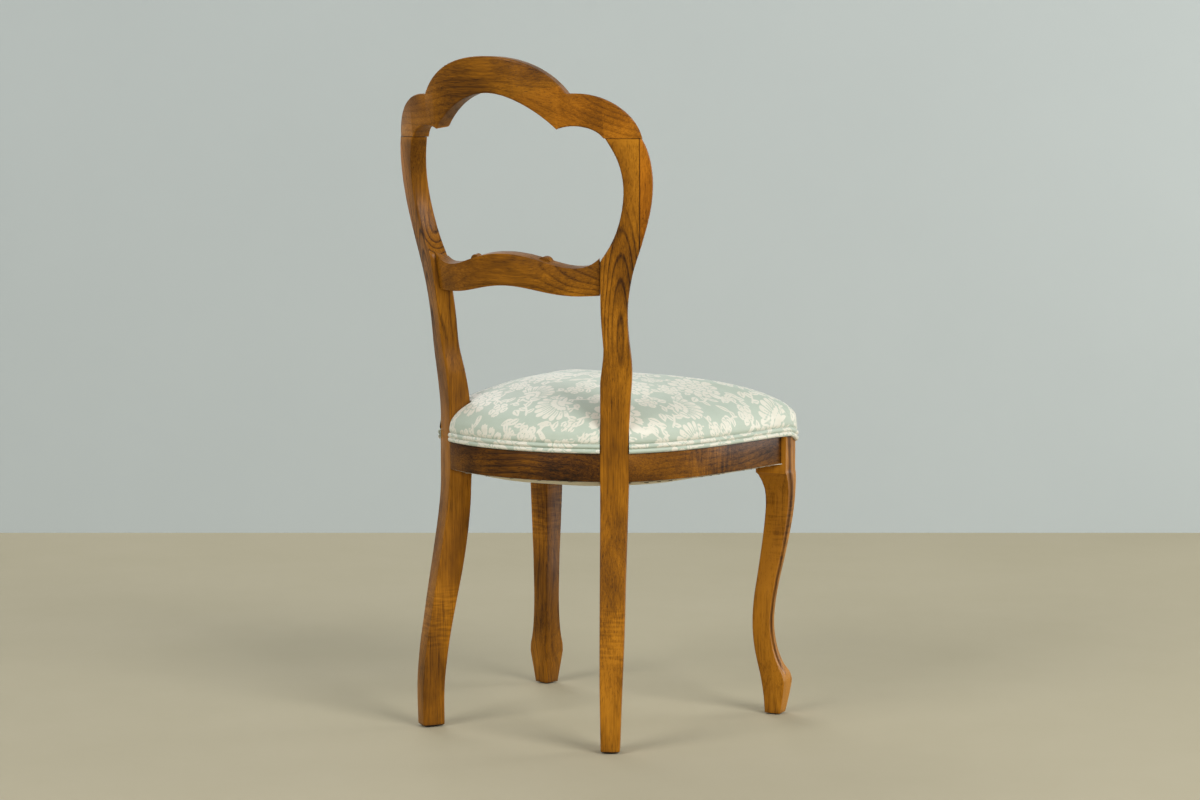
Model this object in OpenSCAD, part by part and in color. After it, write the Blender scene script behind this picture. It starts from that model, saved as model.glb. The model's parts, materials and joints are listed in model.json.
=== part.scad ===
// Balloon back dining chair with canted sabre rear legs, a bowed crest and cross rail,
// cabriole front legs and a sprung stuff-over seat. Lengths in millimetres, +Z up.
// The sitter faces -Y, so the chair's own left side is +X.
// The model is laid out from the inner back corners of the rear legs at seat height,
// and then moved so that the origin lies on the floor under the middle of the whole.

/* [Stance] */
// Distance between the inner back corners of the rear legs at the seat
rear_span = 245.2; // [225:1:265]
// Turn of the rear legs about the vertical
cant = 32.5; // [29:0.5:36]
// Distance between the centre lines of the front feet
front_span = 389.4; // [375:1:405]
// Distance from the rear legs' back corners to the front feet's centre lines
leg_depth = 324.7; // [310:1:345]
// Turn of the front legs about the vertical
front_turn = 10; // [6:1:14]

/* [Rear legs and back] */
// Height of the joint between rear legs and crest
joint_z = 800; // [785:1:830]
// Width of a rear leg at the seat
block_w = 37.3; // [34:0.5:42]
// Thickness of a rear leg at the seat
block_t = 31; // [29:0.5:34]
// How far the foot kicks back behind the seat
foot_kick = 35.5; // [20:0.5:45]
// How far the top of a rear leg leans back behind the seat
top_rake = 49.5; // [42:0.5:56]
// Largest offset of the inner balloon curve from the leg's straight inner edge
balloon_swell = 31.1; // [27:0.5:35]
// Length of the balloon curve in a rear leg, from its lower corner up to the crest's joint
balloon_len = 158; // [150:1:164]
// Width of the board that a rear leg is sawn from, measured from its inner edge
board_w = 51.8; // [50:0.2:54]

/* [Crest] */
// Rise of the crest above its joints, along its lean
crest_rise = 106.3; // [96:0.5:116]
// Lean of the crest and the cross rail
back_tilt = 8.5; // [7:0.25:10]
// Thickness of the crest
crest_t = 24; // [22:0.5:26]

/* [Cross rail] */
// Depth of the cross rail's middle line below the crest's joint
cross_drop = 181; // [176:1:186]
// Height of the cross rail at its ends
cross_h = 46; // [42:0.5:50]
// Thickness of the cross rail
cross_t = 18; // [15:0.5:21]
// How far the cross rail lies in front of the rear legs' back faces
cross_setback = 6.5; // [4:0.25:8]
// Radius of the cross rail's back face
cross_radius = 310; // [280:1:360]
// Radius of the carved scroll ears on the cross rail's front
ear_r = 9; // [7:0.25:11]

/* [Seat frame] */
// Height of the underside of the seat rails
rail_z = 353; // [342:1:364]
// Height of a seat rail
rail_h = 53; // [48:0.5:58]
// Thickness of a seat rail
rail_t = 24; // [21:0.5:26]
// Radius of the rear seat rail's outer face
rear_radius = 250; // [235:1:290]
// Radius of the front seat rail's outer face
front_radius = 730; // [500:5:1500]
// Height of wood that shows under the upholstery
show_h = 37; // [33:0.5:40]
// Diameter of the dowels
dowel_d = 10; // [8:0.5:11]
// Length of the dowels
dowel_len = 34; // [28:1:36]

/* [Front legs] */
// Width of a front leg's block at the seat
knee_w = 44.7; // [43:0.1:47]
// Depth of the cabriole curve, from the ankle's hollow to the knee
cabriole_sweep = 24.8; // [20:0.2:29]
// Height of the toe's point above the floor
toe_z = 49; // [44:0.5:54]
// Depth of the cove along a front leg's outer faces
cove_d = 2.4; // [1.6:0.1:3]
// How far the face in front of the bead beside the cove is set down
step_d = 1.1; // [0.6:0.1:1.6]
// Easing of a front leg's outer corner
nose_r = 5; // [3:0.5:6]

/* [Feet] */
// Diameter of the nail-on glides
glide_d = 18; // [15:0.5:19]
// Thickness of the glides under the feet
glide_t = 2; // [1.5:0.25:5]

/* [Seat] */
// Height of the seat's crown above the floor
crown_z = 481; // [460:1:500]
// How far the rails are set in where the cover is tacked on
rebate = 4; // [2:0.5:6]
// Diameter of one cord of the double welt
welt_d = 6.4; // [5:0.2:7]
// Sag of the dust cover under the rails
dust_sag = 17; // [12:1:30]
// Width of the webbing
web_w = 50; // [40:1:56]
// Thickness of the webbing
web_t = 1.5; // [1:0.1:2]
// Diameter of a seat spring's ends
spring_d = 62; // [50:1:66]
// Diameter of the spring wire
wire_d = 3; // [2.5:0.1:3.6]

/* [Hidden] */

walnut = "#8a5a2b";
walnut_light = "#a8702f";
beech = "#c9a46f";
steel = "#8d9196";
jute = "#b79b6a";
canvas = "#a58c5e";
cream = "#e3dcc6";
damask = "#a9b8a4";
rubber = "#2a2723";

// Set-in of the seat rails from a front leg's outer corner
rail_lip = 6.55;
// Clearance of dowels, tenons and tacks in their holes
fit = 0.15;
// Clearance of soft parts from the wood
soft_gap = 0.4;
// Overrun of every cut
over = 40;
// Room for the folded edge of the cover behind the welt
tuck_gap = 0.6;
// Small chamfer under the feet
foot_chamfer = 1.5;
// Straight length that a rear leg keeps below and above the seat rails
block_margin = 8;
// Heights of the two dowels in a joint, as shares of the rail
pin_shares = [0.22, 0.56];
// Length of a tenon, and its thickness and height as shares of the cross rail
tenon_len = 18;
tenon_share = [0.5, 0.6];

// Shape tables. Each row is [share of the height, share of the named width].

// Back face of a rear leg below the seat, as shares of foot_kick
kick_shares = [[0, 0.98], [0.12, 1], [0.2, 0.975], [0.32, 0.85], [0.44, 0.66],
    [0.56, 0.485], [0.68, 0.31], [0.8, 0.15], [0.9, 0.045], [1, 0]];
// Back face above the seat, as shares of top_rake
rake_shares = [[0, 0], [0.07, 0.014], [0.13, 0.05], [0.2, 0.105], [0.3, 0.215],
    [0.45, 0.37], [0.62, 0.572], [0.8, 0.785], [1, 1]];
// Thickness below and above the seat, as shares of block_t
low_depth_shares = [[0, 0.71], [0.12, 0.72], [0.28, 0.755], [0.42, 0.775],
    [0.5, 0.82], [0.6, 0.905], [0.72, 0.97], [0.85, 1], [1, 1]];
high_depth_shares = [[0, 1], [0.11, 0.965], [0.185, 0.885], [0.26, 0.82],
    [0.38, 0.83], [0.6, 0.795], [0.8, 0.755], [1, 0.73]];
// Inner and outer edge of the back face below the seat, as shares of block_w
low_inner_shares = [[0, 0.05], [0.12, 0.03], [0.3, 0.005], [1, 0]];
low_outer_shares = [[0, 0.72], [0.06, 0.745], [0.2, 0.787], [0.43, 0.868],
    [0.65, 0.91], [0.88, 0.97], [1, 1]];
// Hollow of the inner edge between the seat and the cross rail, as shares of block_w
hollow_shares = [[0, 0], [0.11, 0.055], [0.2, 0.108], [0.28, 0.12], [0.38, 0.085],
    [0.5, 0.045], [0.66, 0.022], [1, 0.015]];
// Where the hollow starts, as a share of the height between block and balloon corner
hollow_start_share = 0.3;
// Inner balloon curve of the leg, as shares of balloon_swell
balloon_shares = [[0, 0.02], [0.11, 0.39], [0.24, 0.7], [0.4, 0.915], [0.56, 1],
    [0.7, 0.935], [0.83, 0.74], [0.94, 0.44], [1, 0.25]];
// Outer edge above the seat, as shares of block_w
high_outer_shares = [[0, 1], [0.12, 1.064], [0.2, 1.117], [0.255, 1.1], [0.32, 1.02],
    [0.39, 0.967], [0.46, 0.992], [0.55, 1.15], [0.64, 1.44], [0.74, 1.72],
    [0.8, 1.82], [0.86, 1.845], [0.92, 1.775], [0.97, 1.62], [1, 1.46]];
// Cabriole profile of a front leg: [share of the height under the block, inner edge,
// outer edge], the edges as shares of cabriole_sweep from the foot's centre line
cabriole_shares = [[0, -0.46, 0.47], [0.06, -0.5, 0.62], [0.105, -0.56, 0.71],
    [0.14, -0.62, 0.755], [0.165, -0.67, 0.68], [0.21, -0.78, 0.42],
    [0.27, -0.91, 0.19], [0.33, -0.985, 0.07], [0.385, -1.01, 0.03],
    [0.44, -0.99, 0.065], [0.5, -0.93, 0.15], [0.57, -0.82, 0.29], [0.65, -0.7, 0.48],
    [0.73, -0.59, 0.65], [0.81, -0.5, 0.8], [0.88, -0.46, 0.89], [0.94, -0.52, 0.93],
    [0.98, -0.7, 0.94], [1, -0.82, 0.93]];
// Cove, bead and set-down face across a front leg's outer face: [share of the face's
// width from its rear edge, share of cove_d, share of step_d]
moulding_shares = [[0.03, 0, 0], [0.09, 0.6, 0], [0.18, 1, 0], [0.29, 0.98, 0],
    [0.38, 0.6, 0], [0.43, 0.16, 0], [0.48, 0, 0], [0.57, 0, 0.06], [0.64, 0, 0.45],
    [0.66, 0, 1]];
// Control points of the crest's outlines, as shares of its half width and its rise
crest_arch_shares = [[0, 1], [0.267, 1], [0.472, 0.828], [0.582, 0.513]];
crest_shoulder_shares = [[0.582, 0.513], [0.79, 0.53], [0.975, 0.28]];
crest_inner_shares = [[0, 0.546], [0.154, 0.546], [0.349, 0.376], [0.497, 0.083]];
crest_lobe_shares = [[0.497, 0.083], [0.574, 0.141], [0.749, 0.132]];
// Glue line of the crest's right shoulder, as shares of its half width and its rise
scarf_shares = [[0.19, 0.42], [0.215, 0.49], [0.3, 0.55], [0.42, 0.59],
    [0.53, 0.602], [0.6, 0.602]];
// Control points of the cross rail, as shares of its half length and its end height
cross_crown_shares = [[0, 0.667], [0.38, 0.667], [0.535, 0.24], [0.788, 0.235]];
cross_dip_shares = [[0.788, 0.235], [0.89, 0.235], [0.965, 0.35], [1.02, 0.52]];
cross_under_shares = [[0, -0.256], [0.306, -0.256], [0.505, -0.574], [0.857, -0.574]];
// Place of the scroll ears, in the same shares
ear_shares = [0.42, 0.352];
// How far the scarf's and the cross rail's outlines run past their pieces' ends
end_over_share = 1.1;
// Softened corner of the cover at a front leg, as a share of the rails' set-in there
corner_soft_share = 0.35;
// Dowels of the crest: places across the joint, and diameter as a share of dowel_d
crest_pin_shares = [0.42, 0.76];
crest_pin_share = 0.8;
// Depth of the seat rails' dowels behind the face, as a share of the rail's thickness
pin_in_share = 0.52;
// Side rail: lengths of its curve's handles as shares of its chord, and their turns
side_handle_shares = [0.302, 0.345];
side_handle_turns = [-51.5, -86];

stile_x = rear_span / 2;
balloon_z = joint_z - balloon_len;
cross_z = joint_z - cross_drop;
front_x = front_span / 2;
rail_top = rail_z + rail_h;
rail_mid = rail_z + rail_h / 2;
block_lo = rail_z - block_margin;
block_hi = rail_top + block_margin;
high_len = joint_z - block_hi;
low_len = block_lo - glide_t;
knee_half = knee_w / 2;
show_z = rail_z + show_h;

// Vector helpers
function unit(v) = v / norm(v);
function left_of(v) = [-v[1], v[0]];
function turn(a, p) = [p[0] * cos(a) - p[1] * sin(a), p[0] * sin(a) + p[1] * cos(a)];
function flip(pts) = [for (i = [len(pts) - 1 : -1 : 0]) pts[i]];
function mirrored(pts) = [for (p = flip(pts)) [-p[0], p[1]]];
function scaled(rows, sx, sy) = [for (r = rows) [r[0] * sx, r[1] * sy]];

// Value of a table at u, with a smooth cubic through its rows. k picks the column.
function row_of(t, u) =
    max([for (i = [0 : len(t) - 2]) if (i == 0 || t[i][0] <= u) i]);
function slope_at(t, i, k) =
    let (a = max(i - 1, 0), b = min(i + 1, len(t) - 1))
    (t[b][k] - t[a][k]) / (t[b][0] - t[a][0]);
function curve_at(t, u, k = 1) =
    let (i = row_of(t, u),
         h = t[i + 1][0] - t[i][0],
         s = (u - t[i][0]) / h,
         m0 = slope_at(t, i, k) * h,
         m1 = slope_at(t, i + 1, k) * h)
    (2 * s * s * s - 3 * s * s + 1) * t[i][k] + (s * s * s - 2 * s * s + s) * m0
    + (3 * s * s - 2 * s * s * s) * t[i + 1][k] + (s * s * s - s * s) * m1;
function steps(n) = [for (i = [0 : n]) i / n];

// Point of a cubic through its end points, and its direction
function bez(p, u) = pow(1 - u, 3) * p[0] + 3 * pow(1 - u, 2) * u * p[1]
    + 3 * (1 - u) * u * u * p[2] + u * u * u * p[3];
function bez_dir(p, u) = unit(pow(1 - u, 2) * (p[1] - p[0])
    + 2 * (1 - u) * u * (p[2] - p[1]) + u * u * (p[3] - p[2]));
function bez_line(p, n) = [for (u = steps(n)) bez(p, u)];

// Rear leg profile: offset of the back face and thickness at a height
function back_at(z) =
    z < block_lo ? foot_kick * curve_at(kick_shares, (z - glide_t) / low_len)
    : z > block_hi ? top_rake * curve_at(rake_shares, (z - block_hi) / high_len)
    : 0;
function depth_at(z) = block_t * (
    z < block_lo ? curve_at(low_depth_shares, (z - glide_t) / low_len)
    : z > block_hi ? curve_at(high_depth_shares, (z - block_hi) / high_len)
    : 1);
leg_heights = concat([for (u = steps(26)) glide_t + u * low_len],
    [for (u = steps(28)) block_hi + u * high_len]);

// Rear leg face: inner and outer edge at a height
hollow_z = block_hi + hollow_start_share * (balloon_z - block_hi);
inner_edge = concat(
    [for (u = steps(8)) [block_w * curve_at(low_inner_shares, u), glide_t + u * low_len]],
    [[0, hollow_z]],
    [for (u = steps(14)) if (u > 0)
        [block_w * curve_at(hollow_shares, u), hollow_z + u * (balloon_z - hollow_z)]],
    [for (u = steps(22)) if (u > 0)
        [balloon_swell * curve_at(balloon_shares, u),
         balloon_z + u * (joint_z - balloon_z)]]);
outer_edge = concat(
    [for (u = steps(18)) [block_w * curve_at(low_outer_shares, u), glide_t + u * low_len]],
    [for (u = steps(44)) [block_w * curve_at(high_outer_shares, u),
        block_hi + u * high_len]]);
top_inner = balloon_swell * curve_at(balloon_shares, 1);
top_outer = block_w * curve_at(high_outer_shares, 1);
top_t = block_t * curve_at(high_depth_shares, 1);

// Place of a point of the left rear leg's own frame in plan
function leg_point(t, n) = [stile_x, 0] + turn(-cant, [t, n]);

// Crest: an arc in plan that meets both rear legs in line with their back faces
crest_outer_end = leg_point(top_outer, top_rake);
crest_inner_end = leg_point(top_inner, top_rake);
crest_join = (crest_outer_end + crest_inner_end) / 2;
crest_radius = crest_join[0] / sin(cant);
crest_apex = crest_join[1] + crest_radius * (1 - cos(cant));
crest_half = crest_outer_end[0];
crest_inner_half = crest_inner_end[0];
function crest_sag(x) = crest_radius - sqrt(crest_radius * crest_radius - x * x);
function joint_drop(x) = -crest_sag(x) * sin(back_tilt);

// Cross rail: a smaller arc between the rear legs, set back from their back faces
cross_end = leg_point(0, back_at(cross_z) - cross_setback);
cross_half = cross_end[0];
cross_apex = cross_end[1] + cross_radius
    - sqrt(cross_radius * cross_radius - cross_half * cross_half);

// Seat plan, in plan coordinates, left half from the middle of the back to the front
rear_apex = rear_radius * (cos(asin(0)) - cos(asin(stile_x / rear_radius)));
function rear_arc(x, inset) =
    [x * (rear_radius - inset) / rear_radius,
     rear_apex - rear_radius + (rear_radius - inset) * cos(asin(x / rear_radius))];
leg_base = [front_x, -leg_depth];
function knee_point(o, f) = leg_base + turn(-front_turn, [o, -f]);
side_start = leg_point(block_w, 0);
side_end = knee_point(knee_half - rail_lip, -knee_half);
side_chord = norm(side_end - side_start);
side_ctrl = [side_start,
    side_start + side_chord * side_handle_shares[0] * turn(side_handle_turns[0], [1, 0]),
    side_end - side_chord * side_handle_shares[1] * turn(side_handle_turns[1], [1, 0]),
    side_end];
function side_curve(inset, n, u0 = 0, u1 = 1) =
    [for (s = steps(n)) let (u = u0 + s * (u1 - u0))
        bez(side_ctrl, u) - inset * left_of(bez_dir(side_ctrl, u))];
front_end = knee_point(-knee_half, knee_half - rail_lip);
front_apex = front_end[1] - (front_radius
    - sqrt(front_radius * front_radius - front_end[0] * front_end[0]));
function front_arc(x, inset) =
    let (a = asin(x / front_radius))
    [(front_radius - inset) * sin(a),
     front_apex + front_radius - (front_radius - inset) * cos(a)];

// Whole seat outline at the rails' outer faces, left half, from back to front. The cover
// passes the steps between rails and front legs in a straight line.
corner_soft = corner_soft_share * rail_lip;
ease_share = 0.94;
seat_half = concat(
    [for (u = steps(5)) rear_arc(u * stile_x, 0)],
    [leg_point(block_w * 0.5, 0)],
    side_curve(0, 9, 0, ease_share),
    [knee_point(knee_half, -knee_half + rail_lip), knee_point(knee_half, 0),
     knee_point(knee_half - corner_soft, knee_half - rail_lip),
     knee_point(knee_half - rail_lip, knee_half - corner_soft),
     knee_point(0, knee_half), knee_point(-knee_half + rail_lip, knee_half)],
    [for (u = steps(5)) front_arc((1 - u) * ease_share * front_end[0], 0)]);
seat_loop = concat(seat_half,
    [for (i = [len(seat_half) - 2 : -1 : 1]) [-seat_half[i][0], seat_half[i][1]]]);
seat_mid = [0, -leg_depth / 2];
loop_n = len(seat_loop);

// Whole depth, for the place of the origin
back_reach = crest_apex + crest_rise * sin(back_tilt);
front_reach = front_apex - skirt_out() - welt_d;
middle_y = -(back_reach + front_reach) / 2;
function skirt_out() = soft_gap + tuck_gap - rebate;

// Runs its children in the frame of the whole chair
module placed() translate([0, middle_y, 0]) children();
// Frame of a rear leg: x across its face, y out of its back face
module at_leg(side) mirror([side < 0 ? 1 : 0, 0, 0])
    translate([stile_x, 0, 0]) rotate([0, 0, -cant]) children();
// Frame of a front leg: x to its outer side, y to the back
module at_knee(side) mirror([side < 0 ? 1 : 0, 0, 0])
    translate([leg_base[0], leg_base[1], 0]) rotate([0, 0, -front_turn]) children();
// Frame of the crest or cross rail: x across, y out of the back, z up its lean
module leaning(y, z) translate([0, y, z]) rotate([-back_tilt, 0, 0]) children();
// A drawing of [across, up] points pushed through from front to back
module through(pts, thick) rotate([90, 0, 0])
    translate([0, 0, -thick / 2]) linear_extrude(thick) polygon(pts);
// A drawing of [back, up] points pushed across from left to right
module across(pts, thick) rotate([90, 0, 90])
    translate([0, 0, -thick / 2]) linear_extrude(thick) polygon(pts);
// A ring about a vertical axis in front of the origin, its outer face at y = 0
module ring(radius, thick, reach, inset = 0) translate([0, -radius, -reach])
    difference() {
        cylinder(r = radius - inset, h = 2 * reach, $fn = 180);
        translate([0, 0, -over])
            cylinder(r = radius - inset - thick, h = 2 * (reach + over), $fn = 180);
    }

// Rear legs

module leg_profile() {
    back = [for (z = leg_heights) [back_at(z), z]];
    front = [for (z = flip(leg_heights)) [back_at(z) - depth_at(z), z]];
    across(concat(back, front), 6 * block_w);
}
module leg_face() through(concat(outer_edge, flip(inner_edge)), 8 * block_t);
module foot_cut() translate([0, 0, glide_t]) difference() {
    translate([-over, -over, -over]) cube([3 * over, 3 * over, over + foot_chamfer]);
    translate([low_mid(), back_at(glide_t) - depth_at(glide_t) / 2, 0])
        linear_extrude(foot_chamfer, scale = 1) square([foot_w(), foot_deep()], true);
}
function foot_w() = block_w * (low_outer_shares[0][1] - low_inner_shares[0][1])
    - 2 * foot_chamfer;
function foot_deep() = depth_at(glide_t) - 2 * foot_chamfer;
function low_mid() = block_w * (low_outer_shares[0][1] + low_inner_shares[0][1]) / 2;

// Whole rear leg with its cheek, before it is drilled
module leg_blank() intersection() {
    leg_profile();
    leg_face();
}
// Everything past the glue line of the cheek
module cheek_side() translate([board_w, -4 * over, balloon_z - over])
    cube([3 * over, 8 * over, joint_z]);

module cross_tenon(gap) {
    n = back_at(cross_z) - cross_setback - cross_t / 2;
    w = cross_t * tenon_share[0] + 2 * gap;
    h = cross_h * tenon_share[1] + 2 * gap;
    translate([-cross_t / 2, n - w / 2, cross_z - h / 2])
        cube([cross_t / 2 + tenon_len + gap, w, h]);
}
// Two upright dowels in the joint of leg and crest
module crest_pins(gap) {
    w = top_outer - top_inner;
    for (share = crest_pin_shares)
        translate([top_inner + share * w, top_rake - top_t / 2,
            joint_z - dowel_len / 2 - gap])
            cylinder(d = dowel_d * crest_pin_share + 2 * gap, h = dowel_len + 2 * gap, $fn = 32);
}
// Two level dowels that run out of a leg's side, at the middle of a seat rail
module side_pins(gap) for (share = pin_shares)
    translate([block_w, -rail_t * pin_in_share, rail_z + share * rail_h]) rotate([0, 90, 0])
        translate([0, 0, -dowel_len / 2 - gap])
            cylinder(d = dowel_d + 2 * gap, h = dowel_len + 2 * gap, $fn = 32);
module rear_pins(gap) for (share = pin_shares)
    translate([0, -rail_t * pin_in_share, rail_z + share * rail_h]) rotate([0, 90, 0])
        translate([0, 0, -dowel_len / 2 - gap])
            cylinder(d = dowel_d + 2 * gap, h = dowel_len + 2 * gap, $fn = 32);

module rear_leg(side) color(walnut) placed() at_leg(side) difference() {
    leg_blank();
    cheek_side();
    foot_cut();
    cross_tenon(fit);
    crest_pins(fit);
    side_pins(fit);
    rear_pins(fit);
}
module stile_cheek(side) color(walnut_light) placed() at_leg(side) intersection() {
    leg_blank();
    cheek_side();
}

// Crest

// Outlines of the half crest, over its back face
crest_top_line = concat(
    bez_line(scaled(crest_arch_shares, crest_half, crest_rise), 24),
    bez_line(concat(scaled(crest_shoulder_shares, crest_half, crest_rise),
        [[crest_half, joint_drop(crest_half)]]), 30));
crest_low_line = concat(
    bez_line(scaled(crest_inner_shares, crest_half, crest_rise), 24),
    bez_line(concat(scaled(crest_lobe_shares, crest_half, crest_rise),
        [[crest_inner_half, 2 * joint_drop(crest_inner_half)]]), 24));
cusp_x = crest_low_line[24][0];
notch_x = crest_top_line[24][0];
crest_columns = concat(
    [for (u = steps(12)) u * cusp_x],
    [for (u = steps(3)) if (u > 0) cusp_x + u * (notch_x - cusp_x)],
    [for (u = steps(9)) if (u > 0)
        notch_x + (1 - (1 - u) * (1 - u)) * (crest_inner_half - notch_x)],
    [for (u = steps(10)) if (u > 0) crest_inner_half
        + (1 - (1 - u) * (1 - u)) * (crest_half - crest_inner_half)]);
// Section of the crest at x, square to its bow. Its upper edge is level from back to
// front, and its lower edge is square to its leaning face.
function crest_section(x, side) =
    let (a = asin(x / crest_radius),
         low = x > crest_inner_half ? -crest_rise : lookup(x, crest_low_line),
         top = lookup(x, crest_top_line))
    [for (c = [[crest_radius, low], [crest_radius - crest_t, low],
        [crest_radius - crest_t, top - crest_t * tan(back_tilt)], [crest_radius, top]])
        [side * c[0] * sin(a), c[0] * cos(a) - crest_radius, c[1]]];
module crest_blank() intersection() {
    leaning(crest_apex, joint_z) tube(concat(
        [for (x = flip(crest_columns)) crest_section(x, -1)],
        [for (x = crest_columns) if (x > 0) crest_section(x, 1)]));
    translate([-2 * crest_half, -2 * crest_half, joint_z])
        cube([4 * crest_half, 4 * crest_half, 2 * crest_rise]);
}
module scarf_side() leaning(crest_apex, joint_z) mirror([1, 0, 0])
    through(concat(
        [[crest_half * scarf_shares[0][0], -crest_rise]],
        scaled(scarf_shares, crest_half, crest_rise),
        [[2 * crest_half, crest_rise * scarf_shares[5][1]],
         [2 * crest_half, -crest_rise]]),
        2 * crest_radius);
module crest_holes() for (side = [-1, 1]) at_leg(side) crest_pins(fit);
module crest_rail() color(walnut) placed() difference() {
    crest_blank();
    scarf_side();
    crest_holes();
}
module crest_shoulder() color(walnut_light) placed() difference() {
    intersection() {
        crest_blank();
        scarf_side();
    }
    crest_holes();
}
module crest_dowels() color(beech) placed() for (side = [-1, 1])
    at_leg(side) crest_pins(0);

// Cross rail

cross_outline_half = concat(
    bez_line(scaled(cross_crown_shares, cross_half, cross_h), 16),
    bez_line(scaled(cross_dip_shares, cross_half, cross_h), 8),
    [[cross_half * end_over_share, cross_h * cross_dip_shares[3][1]],
     [cross_half * end_over_share, cross_h * cross_under_shares[3][1]]]);
cross_under_half = bez_line(scaled(cross_under_shares, cross_half, cross_h), 14);
cross_outline = concat(mirrored(cross_outline_half), cross_outline_half,
    flip(cross_under_half), [for (p = cross_under_half) [-p[0], p[1]]]);

module cross_rail() color(walnut) placed() union() {
    difference() {
        leaning(cross_apex, cross_z) union() {
            intersection() {
                ring(cross_radius, cross_t, 2 * cross_h);
                through(cross_outline, cross_radius);
            }
            intersection() {
                ring(cross_radius, cross_t / 2, 2 * cross_h, cross_t / 2);
                union() for (side = [-1, 1])
                    translate([side * ear_shares[0] * cross_half, 0,
                        ear_shares[1] * cross_h]) rotate([90, 0, 0])
                        cylinder(r = ear_r, h = cross_radius / 2, center = true, $fn = 48);
            }
        }
        for (side = [-1, 1]) at_leg(side)
            translate([0, -4 * over, 0]) cube([4 * over, 8 * over, joint_z]);
    }
    for (side = [-1, 1]) at_leg(side) cross_tenon(0);
}

// Seat rails

// Everything beyond the rear legs' inner or outer side, or the front legs' faces
module beyond_inner(side) at_leg(side) translate([0, -3 * over, 0])
    cube([6 * over, 6 * over, joint_z]);
module beyond_outer(side) at_leg(side) translate([block_w - 6 * over, -3 * over, 0])
    cube([6 * over, 6 * over, joint_z]);
module beyond_knee_back(side) at_knee(side) translate([-4 * over, knee_half - 6 * over, 0])
    cube([8 * over, 6 * over, joint_z]);
module beyond_knee_side(side) at_knee(side) translate([-knee_half, -4 * over, 0])
    cube([6 * over, 8 * over, joint_z]);

// How far a side rail's curve runs on past its ends before it is cut to the legs
run_on_share = 0.08;
module rail_solid(pts) translate([0, 0, rail_z]) linear_extrude(rail_h) polygon(pts);
rear_outer = [for (u = steps(24)) rear_arc((2 * u - 1) * (stile_x + rail_t), 0)];
rear_inner = [for (u = steps(24)) rear_arc((2 * u - 1) * (stile_x + rail_t), rail_t)];
front_outer = [for (u = steps(20)) front_arc((2 * u - 1) * (front_x), 0)];
front_inner = [for (u = steps(20)) front_arc((2 * u - 1) * (front_x), rail_t)];

module seat_rail_rear() color(walnut) placed() difference() {
    rail_solid(concat(rear_outer, flip(rear_inner)));
    for (side = [-1, 1]) {
        beyond_inner(side);
        at_leg(side) rear_pins(fit);
    }
    past_rebate();
    block_screws(fit);
    web_tacks(fit);
    dust_tacks(fit);
}
module seat_rail_side(side) color(walnut) placed() difference() {
    mirror([side < 0 ? 1 : 0, 0, 0])
        rail_solid(concat(side_curve(0, 28, -run_on_share, 1 + run_on_share),
            flip(side_curve(rail_t, 28, -run_on_share, 1 + run_on_share))));
    beyond_outer(side);
    beyond_knee_back(side);
    past_rebate();
    at_leg(side) side_pins(fit);
    at_knee(side) knee_back_pins(fit);
    block_screws(fit);
    web_tacks(fit);
    dust_tacks(fit);
}
module seat_rail_front() color(walnut) placed() difference() {
    rail_solid(concat(flip(front_outer), front_inner));
    for (side = [-1, 1]) {
        beyond_knee_side(side);
        at_knee(side) knee_side_pins(fit);
    }
    past_rebate();
    block_screws(fit);
    web_tacks(fit);
    dust_tacks(fit);
}
module seat_rail_dowels() color(beech) placed() for (side = [-1, 1]) at_leg(side) {
    side_pins(0);
    rear_pins(0);
}

// Front legs

function cab(u, k) = cabriole_sweep * curve_at(cabriole_shares, u, k);
cab_len = rail_z - block_margin * 2 - glide_t;
cab_top = glide_t + cab_len;
// Height over which the moulding grows above the toe, and the ledge under the block
fade_len = 24;
ledge_rise = 0.6;
// Share of the outer corner's easing at the foot, and how far the easing cuts in
foot_nose_share = 0.4;
nose_share = 0.3;
// Level section of a front leg from its inner edge a to its outer edge b, a square with
// the cove and bead along both outer faces. They fade out below the toe's point.
function fade_at(z) = min(max((z - toe_z) / fade_len, 0), 1);
function leg_ring(a, b, z) =
    let (fade = fade_at(z),
         down = fade * step_d,
         nose = nose_r * max(fade, foot_nose_share),
         face = [for (m = moulding_shares)
             [m[0] * (b - a), fade * (m[1] * cove_d + m[2] * step_d)]])
    concat([[a, -a, z], [b, -a, z]],
        [for (p = face) [b - p[1], -a - p[0], z]],
        [[b - down, nose - b, z],
         [b - down - nose * nose_share, down + nose * nose_share - b, z],
         [b - nose, down - b, z]],
        [for (p = flip(face)) [a + p[0], p[1] - b, z]],
        [[a, -b, z]]);

module knee_back_pins(gap) for (share = pin_shares)
    translate([knee_half - rail_lip - rail_t / 2, knee_half, rail_z + share * rail_h])
        rotate([90, 0, 0]) translate([0, 0, -dowel_len / 2 - gap])
            cylinder(d = dowel_d + 2 * gap, h = dowel_len + 2 * gap, $fn = 32);
module knee_side_pins(gap) for (share = pin_shares)
    translate([-knee_half, rail_lip + rail_t / 2 - knee_half, rail_z + share * rail_h])
        rotate([0, 90, 0]) translate([0, 0, -dowel_len / 2 - gap])
            cylinder(d = dowel_d + 2 * gap, h = dowel_len + 2 * gap, $fn = 32);

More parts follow.
